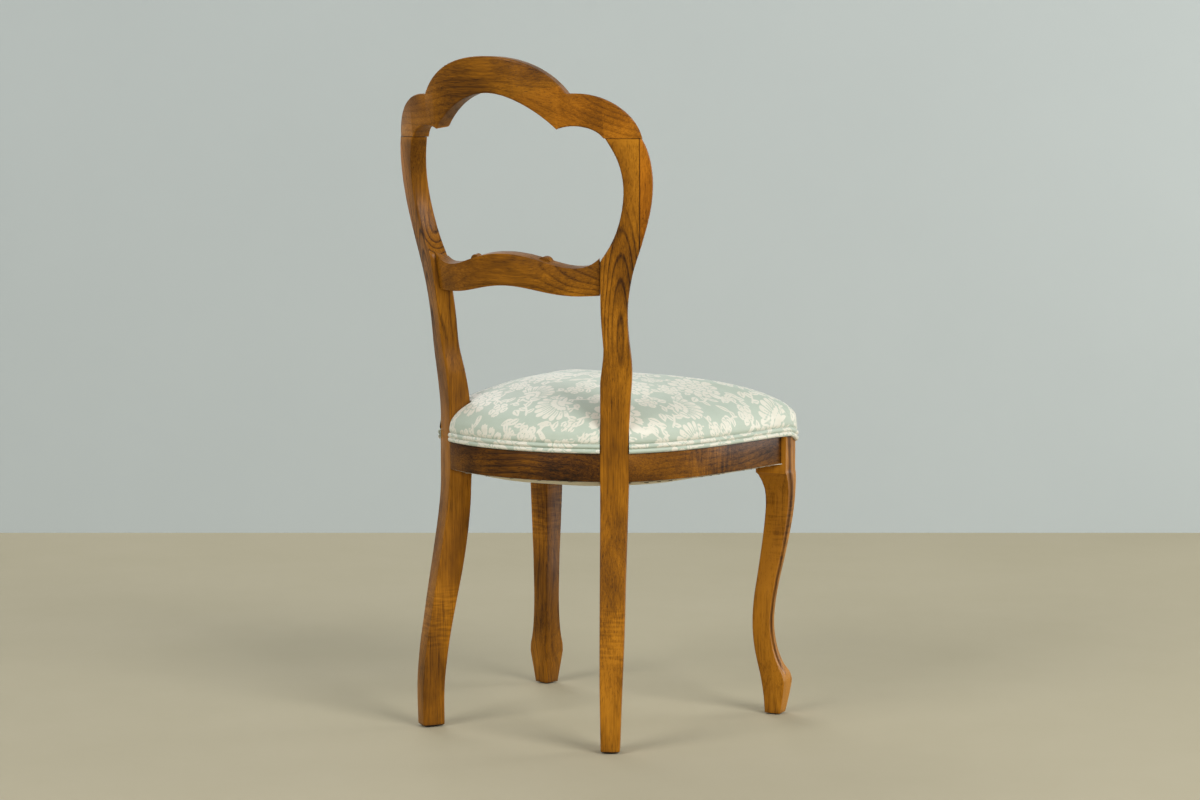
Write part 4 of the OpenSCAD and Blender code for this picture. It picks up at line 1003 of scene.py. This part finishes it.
def dome_z(plan, rho, angle):
    """Height of the finished seat at a share of the way out."""
    c, f = bpy.context.scene.chair_cloth, bpy.context.scene.chair_frame
    base = show_z() + 0.007
    side_reach = f.front_span / 2 + plan.knee_half / 2
    # the farther away the outline is, the longer the dome stays level
    power = 1.5 * (plan.out(angle) / side_reach) ** 1.2
    # rho is rounded off near the middle, so that the crown is no tip. That fills the dome
    # out half-way, so the cloth's crown lies 3 mm lower than the solid's.
    soft, crown = 0.4, c.crown_z - 0.003
    swell = ((rho ** 2 + soft ** 2) ** (power / 2) - soft ** power) / (
        (1 + soft ** 2) ** (power / 2) - soft ** power)
    return base + (crown - base) * np.clip(1 - swell, 0, 1) ** 0.4


def square_grid(n):
    """Azimuth and share of the way out for an even grid laid over a round form."""
    s = np.linspace(-1, 1, n)
    gx, gy = np.meshgrid(s, s)
    gx, gy = gx.ravel(), gy.ravel()
    share = np.maximum(np.abs(gx), np.abs(gy))
    # the elliptical map keeps the cells even up to the corners
    u = gx * np.sqrt(1 - gy * gy / 2)
    v = gy * np.sqrt(1 - gx * gx / 2)
    return np.arctan2(u, v), np.hypot(u, v), share


def grid_faces(n):
    """Quads of an even grid."""
    i, j = np.meshgrid(np.arange(n - 1), np.arange(n - 1), indexing="ij")
    a = (i * n + j).ravel()
    return np.stack([a, a + 1, a + n + 1, a + n], 1).tolist()


def motif_frame(x, y, at, angle):
    """Points in a motif's own frame, in millimetres."""
    dx, dy = wrap(x - at[0], y - at[1])
    c, s = math.cos(angle), math.sin(angle)
    return dx * c + dy * s, -dx * s + dy * c


def wrap(dx, dy):
    """Shortest way within the damask's repeat, in millimetres, with a half drop."""
    c = bpy.context.scene.chair_cloth
    w, h = c.repeat_w / MM, c.repeat_h / MM
    k = np.round(dx / w)
    dx = dx - k * w
    dy = dy - k * h / 2
    return dx, dy - np.round(dy / h) * h


def leaf(x, y, at, angle, length, width):
    """How far inside a pointed leaf with a sunk rib a point lies, in millimetres."""
    u, v = motif_frame(x, y, at, angle)
    t = np.clip(u / length, 0, 1)
    half = width * np.sin(np.pi * t ** 0.8) ** 0.9
    inside = np.where((u > 0) & (u < length), half - np.abs(v),
                      -np.hypot(u - np.clip(u, 0, length), v))
    return np.where((u > length * 0.1) & (u < length * 0.75),
                    np.minimum(inside, np.abs(v) - 0.8), inside)


def sector(r, turn, count):
    """A petal's number, the way across it from -0.5 to 0.5, and the way in from its side."""
    k = np.floor(turn)
    f = turn - k - 0.5
    return k, f, (0.5 - np.abs(f)) * 2 * math.pi / count * r


def petals(r, turn, count, inner, outer):
    """A ring of petals round a motif's middle: notched tips outside, gaps between them."""
    k, f, side = sector(r, turn, count)
    size = outer * (1 - 0.08 * np.sin(k * 2.4 + count))
    tip = size * (1 - 0.2 * (2 * np.abs(f)) ** 2.6 + 0.03 * np.cos(f * 22))
    body = np.minimum(tip - r, np.where(r > inner, side - 1.0, 1e3))
    rib = np.abs(f) * 2 * math.pi / count * r - 0.7
    return np.where((r > inner * 1.15) & (r < outer * 0.8), np.minimum(body, rib), body)


def peony(x, y, at, angle, size):
    """A full flower: long petals, and two tiers of round ones in outline."""
    u, v = motif_frame(x, y, at, angle)
    r, a = np.hypot(u, v * 1.08), np.arctan2(v, u) + math.pi
    best = petals(r, a * 13 / (2 * math.pi), 13, size * 0.6, size)
    for count, reach, turn in ((9, 0.64, 0.2), (6, 0.38, 0.5)):
        _, f, side = sector(r, (a + turn) * count / (2 * math.pi), count)
        edge = size * reach * (1 - 0.24 * (2 * np.abs(f)) ** 2.2)
        tier = np.minimum(edge - r, np.where(r > edge * 0.45, side - 0.9, 1e3))
        best = np.where(r < edge + 2.0, tier, best)
        best = np.where((r >= edge) & (r < edge + 2.0), -1.0, best)
    return np.where(r < size * 0.15, np.abs(r - size * 0.1) - 0.6, best)


def fan(x, y, at, angle, size):
    """A flower seen from its side: a fan of petals over a cup, with two sepals."""
    u, v = motif_frame(x, y, at, angle)
    u = u + size * 0.55
    r, a = np.hypot(u, v), np.arctan2(v, u)
    spread, count = 1.25, 9
    turn = (a + spread) / (2 * spread) * count
    k = np.clip(np.floor(turn), 0, count - 1)
    f = turn - k - 0.5
    reach = size * (1.5 - 0.05 * np.abs(k - 4) ** 1.4)
    tip = reach * (1 - 0.13 * (2 * np.abs(f)) ** 2.5)
    step = 2 * spread / count * r
    body = np.minimum(tip - r, np.where(r > size * 0.6, (0.5 - np.abs(f)) * step - 1.0,
                                        (spread - np.abs(a)) * r))
    rib = np.abs(f) * step - 0.7
    body = np.where((r > size * 0.75) & (r < reach * 0.8), np.minimum(body, rib), body)
    for cup in (0.7, 0.38):
        edge = size * cup * (1 - 0.12 * np.cos(turn * math.pi) ** 2)
        body = np.minimum(body, np.abs(r - edge) - 0.9)
    for lean in (2.2, -2.2):
        p = u * math.cos(lean) + v * math.sin(lean)
        q = -u * math.sin(lean) + v * math.cos(lean)
        t = np.clip(p / (size * 0.5), 0, 1)
        sepal = np.where((p > 0) & (p < size * 0.5), size * 0.11 * np.sin(np.pi * t ** 0.7)
                         - np.abs(q), -np.hypot(p - np.clip(p, 0, size * 0.5), q))
        body = np.maximum(body, sepal)
    return body


def rose(x, y, at, angle, size):
    """A small open flower of five petals, each with a crescent, round a ringed eye."""
    u, v = motif_frame(x, y, at, angle)
    r, a = np.hypot(u, v), np.arctan2(v, u) + math.pi
    _, f, side = sector(r, a * 5 / (2 * math.pi), 5)
    tip = size * (1 - 0.24 * (2 * np.abs(f)) ** 2.2 + 0.04 * np.cos(f * 26))
    body = np.minimum(tip - r, np.where(r > size * 0.4, side - 0.9, 1e3))
    crescent = np.abs(r - size * (0.72 - 0.5 * f * f)) - 0.8
    body = np.where(np.abs(f) < 0.28, np.minimum(body, crescent), body)
    return np.where(r < size * 0.42, np.minimum(body, np.abs(r - size * 0.28) - 0.6), body)


def stem(x, y, points, width):
    """How far inside a curved stem a point lies."""
    best = np.full_like(x, 1e3)
    for i in range(25):
        q = bez([Vector(p) for p in points], i / 24)
        dx, dy = wrap(x - q.x, y - q.y)
        best = np.minimum(best, np.hypot(dx, dy))
    return width / 2 - best


# Motifs of the damask's repeat, in millimetres: place, turn, size. They are common
# garden flowers as on any old furnishing damask, laid out one by one.
PEONIES = [((45, 45), 0.4, 37), ((92, 142), 2.6, 35)]
FANS = [((136, 62), 1.1, 30), ((8, 124), 4.4, 27)]
ROSES = [((94, 20), 0.3, 15), ((52, 100), 0.9, 16), ((150, 118), 0.2, 17), ((140, 8), 0.8, 14),
         ((95, 88), 1.2, 12), ((40, 172), 0.5, 15), ((140, 172), 0.1, 13)]
STEMS = [((70, 60), (84, 66), (92, 76), (95, 80)), ((80, 30), (70, 22), (68, 14), (74, 4)),
         ((108, 28), (120, 34), (128, 38), (131, 44)),
         ((148, 12), (160, 20), (172, 20), (184, 26)),
         ((52, 116), (56, 128), (66, 132), (72, 138)),
         ((36, 100), (28, 104), (24, 110), (18, 118)),
         ((126, 92), (128, 104), (134, 112), (138, 116)),
         ((168, 118), (176, 120), (184, 122), (190, 116)),
         ((112, 168), (118, 174), (124, 176), (130, 174)),
         ((166, 86), (172, 78), (176, 70), (184, 66)),
         ((10, 84), (6, 76), (8, 66), (14, 60)), ((26, 160), (18, 156), (12, 150), (10, 146)),
         ((150, 140), (152, 150), (148, 156), (144, 160)),
         ((20, 60), (30, 72), (44, 84), (50, 88)),
         ((62, 150), (50, 150), (42, 156), (40, 162)),
         ((110, 100), (118, 96), (126, 88), (134, 80)),
         ((150, 30), (146, 40), (142, 46), (140, 50)), ((76, 96), (66, 92), (58, 92), (54, 96)),
         ((178, 140), (184, 136), (188, 130), (190, 124)),
         ((100, 56), (106, 54), (112, 56), (118, 62)),
         ((160, 100), (164, 106), (160, 112), (154, 114))]
LEAVES = [((118, 118), -0.6, 19), ((20, 78), 1.9, 20), ((168, 44), 0.5, 21), ((112, 44), 2.4, 15),
          ((70, 84), 2.2, 17), ((16, 12), 3.6, 20), ((118, 8), -1.2, 15), ((160, 150), 0.7, 19),
          ((30, 140), 1.2, 17), ((122, 182), 0.4, 16), ((172, 94), 0.9, 18), ((66, 182), 1.8, 18),
          ((84, 112), 0.2, 14), ((176, 4), 0.4, 16), ((12, 176), 2.6, 18), ((74, 104), 0.5, 13)]


def damask_figure(x, y):
    """Depth inside the cream figure at points of the cloth, in millimetres; below 0 is ground."""
    wx = x + 1.3 * np.sin(y / 9 + 1.3) + 0.5 * np.sin(y / 3.7)
    wy = y + 1.3 * np.sin(x / 8 + 0.4) + 0.5 * np.sin(x / 4.1)
    best = np.full_like(x, -1e3)
    for points in STEMS:
        best = np.maximum(best, stem(wx, wy, points, 2.8))
        p = [Vector(q) for q in points]
        for i, u in enumerate((0.15, 0.45, 0.75)):
            at, way = bez(p, u), bez_dir(p, u)
            tilt = math.atan2(way.y, way.x) + (1.0 if i % 2 else -1.0)
            best = np.maximum(best, leaf(wx, wy, at, tilt, 13 + 2 * i, 4.2))
    for at, angle, length in LEAVES:
        best = np.maximum(best, leaf(wx, wy, at, angle, length, length * 0.27))
    for motif, rows in ((rose, ROSES), (fan, FANS), (peony, PEONIES)):
        for at, angle, size in rows:
            dx, dy = wrap(wx - at[0], wy - at[1])
            away = np.hypot(dx, dy)
            bloom = motif(wx, wy, at, angle, size)
            # a band of ground keeps the flower clear of what lies behind it
            clear = np.where(away < size * 1.1, np.maximum(away - size * 1.02, -bloom - 2.2), best)
            best = np.maximum(np.minimum(best, clear), bloom)
    return best


def damask(name):
    """Jacquard damask of cotton and viscose: a sage satin ground and a cream figure, whose
    longer floats catch the light. Threads 0.6 mm apart are drawn at 1.2 mm."""
    c = bpy.context.scene.chair_cloth
    material, tree = new_material(name)
    node = partial(add_node, tree)
    cloth = node("UVMap", uv_map="cloth")
    figure = node("Attribute", attribute_name="figure")
    mask = node("MapRange", (figure, "Fac"), -0.35, 0.35)
    mottle = node("TexNoise", cloth, Scale=60.0, Detail=4.0)
    ground, cream = (node("Mix", data_type="RGBA", Factor_Float=mottle, A_Color=linear(one),
                          B_Color=linear(other))
                     for one, other in ((c.ground, "#B5C1B0"), (c.figure, "#DCD8C6")))
    colour = node("Mix", data_type="RGBA", Factor_Float=mask, A_Color=(ground, "Result_Color"),
                  B_Color=(cream, "Result_Color"))
    # weft and warp as two fine waves, at right angles
    weft, warp = (node("TexWave", node("Mapping", cloth, None, (0, 0, turn)),
                       Scale=1 / (2 * math.pi * 0.0012) * 2, Distortion=0.6, Detail=1.0)
                  for turn in (0.0, math.pi / 2))
    weave = node("Math", weft, warp, operation="MULTIPLY")
    shade = node("MapRange", weave, 0.0, 1.0, 0.9, 1.02)
    # the figure stands a hair above the ground
    raised = node("Math", weave, 0.35, mask, operation="MULTIPLY_ADD")
    put_surface(tree, {
        "Base Color": node("VectorMath", (colour, "Result_Color"), operation="SCALE",
                           Scale=shade),
        "Normal": node("Bump", Strength=0.35, Distance=0.0004, Height=raised),
        "Roughness": node("MapRange", mask, 0.0, 1.0, 0.6, 0.5),
        "Sheen Weight": 0.25, "Sheen Roughness": 0.4})
    return material


def lay_cloth(obj, uv, figure):
    """Gives a piece its cloth coordinates, in metres, and its damask figure."""
    mesh = obj.data
    layer = mesh.uv_layers.new(name="cloth")
    index = np.zeros(len(mesh.loops), np.int32)
    mesh.loops.foreach_get("vertex_index", index)
    layer.data.foreach_set("uv", uv[index].astype(np.float32).ravel())
    attribute = mesh.attributes.new("figure", "FLOAT", "POINT")
    attribute.data.foreach_set("value", figure.astype(np.float32))


class CHAIR_OT_cover(bpy.types.Operator):
    """Damask cover drawn over the stuffing, down to the welt"""

    bl_idname = "chair.cover"
    bl_label = "Seat cover"

    rim = 0.93  # the dome's share of the cloth's grid; the rest is its turned-down edge
    edge = 0.985  # the dome's share of the way out to the outline
    lift = 0.003  # the cloth lies this far outside the outline

    def execute(self, context):
        plan = SeatPlan()
        n = 311
        angle, _, share = square_grid(n)
        reach = plan.out(angle)
        inner = np.clip(share / self.rim, 0, 1)
        down = np.clip((share - self.rim) / (1 - self.rim), 0, 1)
        # the dome, then over the edge and down behind the welt
        hem = show_z() + 0.001
        z_edge = dome_z(plan, np.full_like(share, self.edge), angle)
        falls = [0, 0.35, 0.48, 0.6, 1]
        z_skirt = hem + (z_edge - hem) * np.interp(down, falls, [1, 0.64, 0.5, 0.42, 0])
        out_skirt = np.interp(down, falls, [self.lift, self.lift, 0.0016, -0.0016, -0.0022])
        z = np.where(share <= self.rim, dome_z(plan, self.edge * inner, angle), z_skirt)
        reach_share = self.edge + (1 - self.edge) * np.sin(down * math.pi / 2)
        dist = np.where(share <= self.rim, self.edge * inner * reach + self.lift * inner ** 2,
                        reach_share * reach + out_skirt)
        # at the front corners the cloth is gathered in small pleats over the leg
        away = plan.corner_away(angle)
        gather = np.exp(-(away / 0.13) ** 2) * np.clip((share - 0.72) / 0.2, 0, 1)
        dist = dist + gather * (0.001 * np.cos(away / 0.0085) + 0.0012)
        dist = dist + plan.bulge(angle) * inner ** 8
        z = z - plan.sag * plan.bulge(angle) * np.clip(down * 3, 0, 1)
        points = plan.to_xyz(angle, dist, z)
        points = self.swell(plan, points, share)
        uv = self.unroll(plan, angle, share)
        figure = damask_figure(uv[:, 0] / MM, uv[:, 1] / MM)
        cover = new_piece("seat_cover_damask", points, grid_faces(n), damask("damask_cover"),
                          "seat_cover", 60)
        lay_cloth(cover, uv, figure)
        flip_up(cover)
        clear_legs(cover)
        return {"FINISHED"}

    def swell(self, plan, points, share):
        """Lets the stuffing push the cloth out, and lays the cover's fine grid over the result."""
        show = show_z()
        # the pad's top lies 4.5 mm under the cloth's, and it can rise by 6 mm, but it is held
        # up to 13 mm over the rails' shown wood
        n = 61
        angle, _, way = square_grid(n)
        dist = way * (plan.out(angle) - self.lift)
        roof = plan.to_xyz(angle, dist, dome_z(plan, way * self.edge, angle) - 0.0045)
        foot = plan.to_xyz(angle, dist, show)
        rim = np.flatnonzero(way > 1 - 1e-6)
        order = rim[np.argsort(angle[rim])].tolist()
        faces = grid_faces(n) + [[i + n * n for i in face] for face in grid_faces(n)]
        faces += [[a, b, b + n * n, a + n * n] for a, b in zip(order, order[-1:] + order)]
        skin = inflated(np.concatenate([roof, foot]), faces, show + 0.013, 0.006)
        f = bpy.context.scene.chair_frame
        centre = Vector((plan.mid.x, f.middle_y + plan.mid.y, show + 0.004))
        points = points.copy()
        # near the rim the cloth keeps its own form
        keep = np.clip((share - 0.8) / (self.rim - 0.8), 0, 1)
        keep = keep * keep * (3 - 2 * keep)
        for i in np.flatnonzero(share < self.rim):
            out = Vector(points[i]) - centre
            hit = skin.ray_cast(centre, out.normalized())[0]
            if hit:
                # it may sink by 1.5 mm at most, so that the stuffing never shows
                far = max((hit - centre).length, out.length - 0.0015)
                points[i] = points[i] * keep[i] + np.array(
                    centre + out.normalized() * far) * (1 - keep[i])
        return points

    def unroll(self, plan, angle, share):
        """Cloth coordinates: the way over the dome from its crown, laid flat."""
        steps = 60
        total = np.zeros_like(angle)
        last_d, last_z = np.zeros_like(angle), dome_z(plan, np.zeros_like(angle), angle)
        reach = plan.out(angle)
        for i in range(1, steps + 1):
            r = np.clip(share / self.rim, 0, 1) * self.edge * i / steps
            d, z = r * reach, dome_z(plan, r, angle)
            total += np.hypot(d - last_d, z - last_z)
            last_d, last_z = d, z
        # the turned-down edge is 30 mm of cloth
        total += np.clip((share - self.rim) / (1 - self.rim), 0, 1) * 0.03
        return np.stack([np.sin(angle) * total, np.cos(angle) * total], 1)


def inflated(points, faces, held_below, cap):
    """Swells a closed pad by cloth pressure, by no more than the cap, and returns its skin."""
    scene = bpy.context.scene
    pad = new_mesh("pad", points, faces)
    outwards(pad)
    bpy.context.view_layer.objects.active = pad
    pad.select_set(True)
    pad.data.remesh_voxel_size = 0.005
    bpy.ops.object.voxel_remesh()
    rest = coordinates(pad.data)
    held = pad.vertex_groups.new(name="held")
    held.add([int(i) for i in np.flatnonzero(rest[:, 2] < held_below)], 1.0, "REPLACE")
    cloth = pad.modifiers.new("cloth", "CLOTH")
    cloth.settings.use_pressure = True
    cloth.settings.uniform_pressure_force = 4
    cloth.settings.effector_weights.gravity = 0
    cloth.settings.vertex_group_mass = "held"
    cloth.point_cache.frame_start, cloth.point_cache.frame_end = 1, 20
    for frame in range(1, 21):
        scene.frame_set(frame)
    result = pad.evaluated_get(bpy.context.evaluated_depsgraph_get()).to_mesh()
    way = coordinates(result) - rest
    far = np.linalg.norm(way, axis=1, keepdims=True)
    rest += way * np.minimum(1, cap / np.maximum(far, 1e-9))
    pad.modifiers.remove(cloth)
    pad.data.vertices.foreach_set("co", rest.ravel())
    apply_modifier(pad, "SUBSURF", levels=1, render_levels=1)
    skin = BVHTree.FromPolygons([v.co for v in pad.data.vertices],
                                [tuple(p.vertices) for p in pad.data.polygons])
    scene.frame_set(1)
    bpy.data.objects.remove(pad)
    return skin


def flip_up(obj):
    """Turns an open cloth's faces over if its middle faces down."""
    mesh = obj.data
    if sum(p.normal.z * p.area for p in mesh.polygons) < 0:
        mesh.flip_normals()


def clear_legs(obj, gap=0.0005, hem=0.003):
    """Cuts cloth where a rear leg stands in it, and lays the cut edge against the leg."""
    co = coordinates(obj.data)
    deep = np.zeros(len(co), bool)
    for side, _ in SIDES:
        m = np.array(leg_frame(side).inverted())
        own = co @ m[:3, :3].T + m[:3, 3]
        x, y = own[:, 0].copy(), own[:, 1].copy()
        low_x, high_x, low_y = -gap, SeatPlan.block_w + gap, -SeatPlan.block_t - gap
        inside = (x > low_x) & (x < high_x) & (y > low_y)
        ways = np.stack([x - low_x, high_x - x, y - low_y], 1)
        nearest = ways.argmin(1)
        deep |= inside & (ways.min(1) > hem)
        own[:, 0] = np.where(inside & (nearest == 0), low_x,
                             np.where(inside & (nearest == 1), high_x, x))
        own[:, 1] = np.where(inside & (nearest == 2), low_y, y)
        m = np.array(leg_frame(side))
        co = own @ m[:3, :3].T + m[:3, 3]
    obj.data.vertices.foreach_set("co", co.ravel())
    with edited(obj) as bm:
        bm.verts.ensure_lookup_table()
        bmesh.ops.delete(bm, geom=[bm.verts[i] for i in np.flatnonzero(deep)], context="VERTS")


class CHAIR_OT_welts(bpy.types.Operator):
    """Double welt round the foot of the cover: two cords in one strip of damask"""

    bl_idname = "chair.welts"
    bl_label = "Double welt"

    stand_off = 0.0004  # the cords' middles lie this far outside the outline
    pitch = 0.0021  # cloth between two points of the outline

    def execute(self, context):
        plan = SeatPlan()
        c = context.scene.chair_cloth
        low = show_z() + c.welt_d / 2
        profile = self.profile(c.welt_d / 2)
        for name, stop, n in (("double_welt_front", plan.block_w + 0.0006, 460),
                              ("double_welt_rear", -0.0006, 130)):
            ends = [self.meet(plan, out, stop) for out, _ in profile]
            rings = []
            for i in range(n):
                ring = []
                for (out, z), end in zip(profile, ends):
                    first, last = ((end, 2 * math.pi - end) if stop > 0 else (-end, end))
                    a = np.array(first + (last - first) * (i / (n - 1)))
                    bulge = float(plan.bulge(a))
                    # over the leg's corner the joined ends hang and are thicker
                    thick = 1 + 60 * bulge
                    ring.append(tuple(plan.to_xyz(
                        a, plan.out(a) + self.stand_off + out * thick + bulge,
                        low + z * thick - plan.sag * bulge)))
                rings.append(ring)
            piece = lofted(f"{name}_cord", rings, damask(f"damask_{name}"), name, 70)
            uvs, length = [], 0.0
            for i, ring in enumerate(rings):
                if i:
                    length += (Vector(ring[0]) - Vector(rings[i - 1][0])).length
                uvs += [(length, j * self.pitch) for j in range(len(ring))]
            # the strip is cut aslant, from another place of the pattern than the cover
            uv = np.array(uvs) + (0.03, 0.07)
            uv = np.stack([uv[:, 0] * 0.8 - uv[:, 1] * 0.6, uv[:, 0] * 0.6 + uv[:, 1] * 0.8], 1)
            lay_cloth(piece, uv, damask_figure(uv[:, 0] / MM, uv[:, 1] / MM))
        return {"FINISHED"}

    def meet(self, plan, out, stop):
        """Azimuth at which a line of the welt reaches a plane across a rear leg."""
        f = bpy.context.scene.chair_frame
        inverse = leg_frame(1).inverted()
        low, high = 0.2, 1.3
        for _ in range(30):
            a = (low + high) / 2
            at = plan.to_xyz(np.array(a), plan.out(np.array(a)) + self.stand_off + out, f.rail_z)
            if (inverse @ Vector(at)).x < stop:
                low = a
            else:
                high = a
        return low

    def profile(self, r):
        """Outline of two cords, one above the other, with the stitched neck between them."""
        neck = math.radians(75)
        rise = 2 * r * math.sin(neck)
        points = []
        for i in range(13):
            b = -neck + (math.pi + 2 * neck) * i / 12
            points.append((r * math.cos(b), rise + r * math.sin(b)))
        for i in range(1, 12):
            b = math.pi - neck + (math.pi + 2 * neck) * i / 12
            points.append((r * math.cos(b), r * math.sin(b)))
        return points


class CHAIR_OT_seat_inside(bpy.types.Operator):
    """Webbing, springs, canvas and stuffing under the cover"""

    bl_idname = "chair.seat_inside"
    bl_label = "Seat inside"

    def execute(self, context):
        # woven jute webbing: golden brown, coarse, dull
        jute = plain_stuff("jute_webbing", "#8E7444", "#C2A671", 500, roughness=0.85, bump=0.5)
        for name in ("webbing_lengthwise", "webbing_crosswise"):
            eased_copy(name, jute, "jute", 0.0003)
        # drawn and copper washed spring wire: warm grey and shiny
        wire = plain_stuff("steel_spring_wire", "#7E6A58", "#A48B74", 300, roughness=0.35,
                           metal=1.0, bump=0.1)
        eased_copy("seat_springs", wire, "steel", 0.0001)
        # hessian canvas of plain-woven jute: brown, coarse, matt
        hessian = plain_stuff("hessian_canvas", "#7D6840", "#AF9664", 700, roughness=0.9, bump=0.6)
        canvas = eased_copy("spring_canvas", hessian, "hessian", 0.0002)
        # curled hair and fibre, matted
        fibre = plain_stuff("hair_stuffing", "#3C2E22", "#8D7A60", 240, (1, 1, 0.4), 0.95,
                            bump=1.0, distance=0.002)
        stuffing = eased_copy("seat_stuffing", fibre, "stuffing", 0.001)
        self.dust_cover()
        return {"FINISHED"}

    def dust_cover(self):
        """Calico tacked under the rails, bellied by the webbing and its own slack."""
        f = bpy.context.scene.chair_frame
        # bleached calico: cream, thin, matt
        calico = plain_stuff("calico_dust_cover", "#D9D2BC", "#ECE6D4", 90, roughness=0.9)
        plan = SeatPlan()
        n = 121
        angle, _, share = square_grid(n)
        rim = 0.95  # outside this share of the way the cloth lies flat on the rails
        under = f.rail_z - 0.0008  # the cloth's middle, just under the rails
        rho = np.clip(share / rim, 0, 1)
        belly = 0.017 * (1 - rho ** 3.2) + 0.0012 * np.sin(angle * 9) * rho ** 6 * (1 - rho) * 6
        z = under - np.where(share < rim, belly + 0.0016 * (share < 0.9), 0)
        points = plan.to_xyz(angle, share * (plan.out(angle) - 0.0034), np.minimum(z, under))
        sheet = new_piece("dust_cover_calico", points, grid_faces(n), calico,
                          "dust_cover", 60)
        clear_legs(sheet)
        apply_modifier(sheet, "SOLIDIFY", thickness=0.0006, offset=0)


# Stage


class CHAIR_OT_stage(bpy.types.Operator):
    """Floor, backdrop, soft lights and the camera"""

    bl_idname = "chair.stage"
    bl_label = "Stage"

    def execute(self, context):
        s = context.scene.chair_stage
        forward = Vector((-math.sin(s.heading), math.cos(s.heading), 0))
        right = Vector((forward.y, -forward.x, 0))
        # painted studio board, matt tan
        board = plain_stuff("studio_floor", "#A69D82", "#AFA68D", 3, roughness=0.85, bump=0.02)
        # painted wall, matt pale grey
        paint = plain_stuff("studio_wall", "#B8C0C0", "#BDC5C5", 2, roughness=0.9, bump=0.02)
        self.see_through(paint.node_tree)
        for name, stuff, at, turn in (
                ("floor", board, (0, 0, 0), (0, 0, 0)),
                ("backdrop", paint, forward * 1.78, (math.pi / 2, 0, s.heading))):
            bpy.ops.mesh.primitive_plane_add(size=14, location=at, rotation=turn)
            plane = context.active_object
            plane.name = name
            repaint(plane, stuff)
        bpy.ops.object.select_all(action="DESELECT")
        camera = new_object("camera", bpy.data.cameras.new("camera"))
        camera.location = (s.camera_x, s.camera_y, s.camera_z)
        camera.rotation_euler = (math.pi / 2 - s.pitch, 0, s.heading)
        camera.data.lens = s.lens
        camera.data.sensor_width = 36
        camera.data.clip_end = 60
        context.scene.camera = camera
        target = Vector((0, 0, 0.45))
        for name, place, size, power in (
                ("key", -forward * 3.1 + right * 2.6 + Vector((0, 0, 2.7)), 2.0, s.key_power),
                ("fill", -forward * 2.9 - right * 2.9 + Vector((0, 0, 2.6)), 2.0, s.fill_power),
                ("front", forward * 3.4 - right * 1.2 + Vector((0, 0, 2.6)), 2.2, s.front_power),
                ("window", forward + right * 3.4 + Vector((0, 0, 0.9)), 1.4, s.window_power)):
            lamp = new_object(name, bpy.data.lights.new(name, "AREA"))
            lamp.data.energy, lamp.data.size = power, size
            lamp.location = place
            lamp.rotation_euler = (target - place).to_track_quat("-Z", "Y").to_euler()
        world = bpy.data.worlds.new("room")
        world.use_nodes = True
        context.scene.world = world
        tree = world.node_tree
        sky = tree.nodes["Background"]
        sky.inputs["Color"].default_value = linear("#F4F6F5")
        # where the camera sees past the backdrop, the room is as pale as the backdrop
        seen = add_node(tree, "MapRange", (add_node(tree, "LightPath"), "Is Camera Ray"),
                        0.0, 1.0, s.sky, 0.55)
        fill(tree, sky.inputs["Strength"], seen)
        context.scene.view_settings.view_transform = "Standard"
        return {"FINISHED"}

    def see_through(self, tree):
        """Clears the backdrop from behind, so that the chair's front can be looked at."""
        shader, out = (next(n for n in tree.nodes if n.type == kind)
                       for kind in ("BSDF_PRINCIPLED", "OUTPUT_MATERIAL"))
        clear = add_node(tree, "Math", (add_node(tree, "NewGeometry"), "Backfacing"),
                         (add_node(tree, "LightPath"), "Is Shadow Ray"), operation="MAXIMUM")
        glass = add_node(tree, "BsdfTransparent")
        fill(tree, out.inputs["Surface"], add_node(tree, "MixShader", clear, shader, glass))


class CHAIR_PT_panel(bpy.types.Panel):
    """Lists the chair's pieces"""

    bl_idname = "CHAIR_PT_panel"
    bl_label = "Balloon back chair"
    bl_space_type = "VIEW_3D"
    bl_region_type = "UI"
    bl_category = "Chair"

    def draw(self, context):
        for operator in OPERATORS:
            self.layout.operator(operator.bl_idname)


GROUPS = (ChairFrame, ChairCloth, ChairStage)
OPERATORS = (CHAIR_OT_rear_legs, CHAIR_OT_crest, CHAIR_OT_cross_rail, CHAIR_OT_seat_rails,
             CHAIR_OT_front_legs, CHAIR_OT_joinery, CHAIR_OT_seat_inside, CHAIR_OT_cover,
             CHAIR_OT_welts, CHAIR_OT_stage)


def register():
    for cls in GROUPS + OPERATORS + (CHAIR_PT_panel,):
        bpy.utils.register_class(cls)
    bpy.types.Scene.chair_frame = PointerProperty(type=ChairFrame)
    bpy.types.Scene.chair_cloth = PointerProperty(type=ChairCloth)
    bpy.types.Scene.chair_stage = PointerProperty(type=ChairStage)


def unregister():
    for name in ("chair_frame", "chair_cloth", "chair_stage"):
        delattr(bpy.types.Scene, name)
    for cls in reversed(GROUPS + OPERATORS + (CHAIR_PT_panel,)):
        bpy.utils.unregister_class(cls)


def main():
    register()
    for operator in OPERATORS:
        group, name = operator.bl_idname.split(".")
        getattr(getattr(bpy.ops, group), name)()


if __name__ == "__main__":
    main()
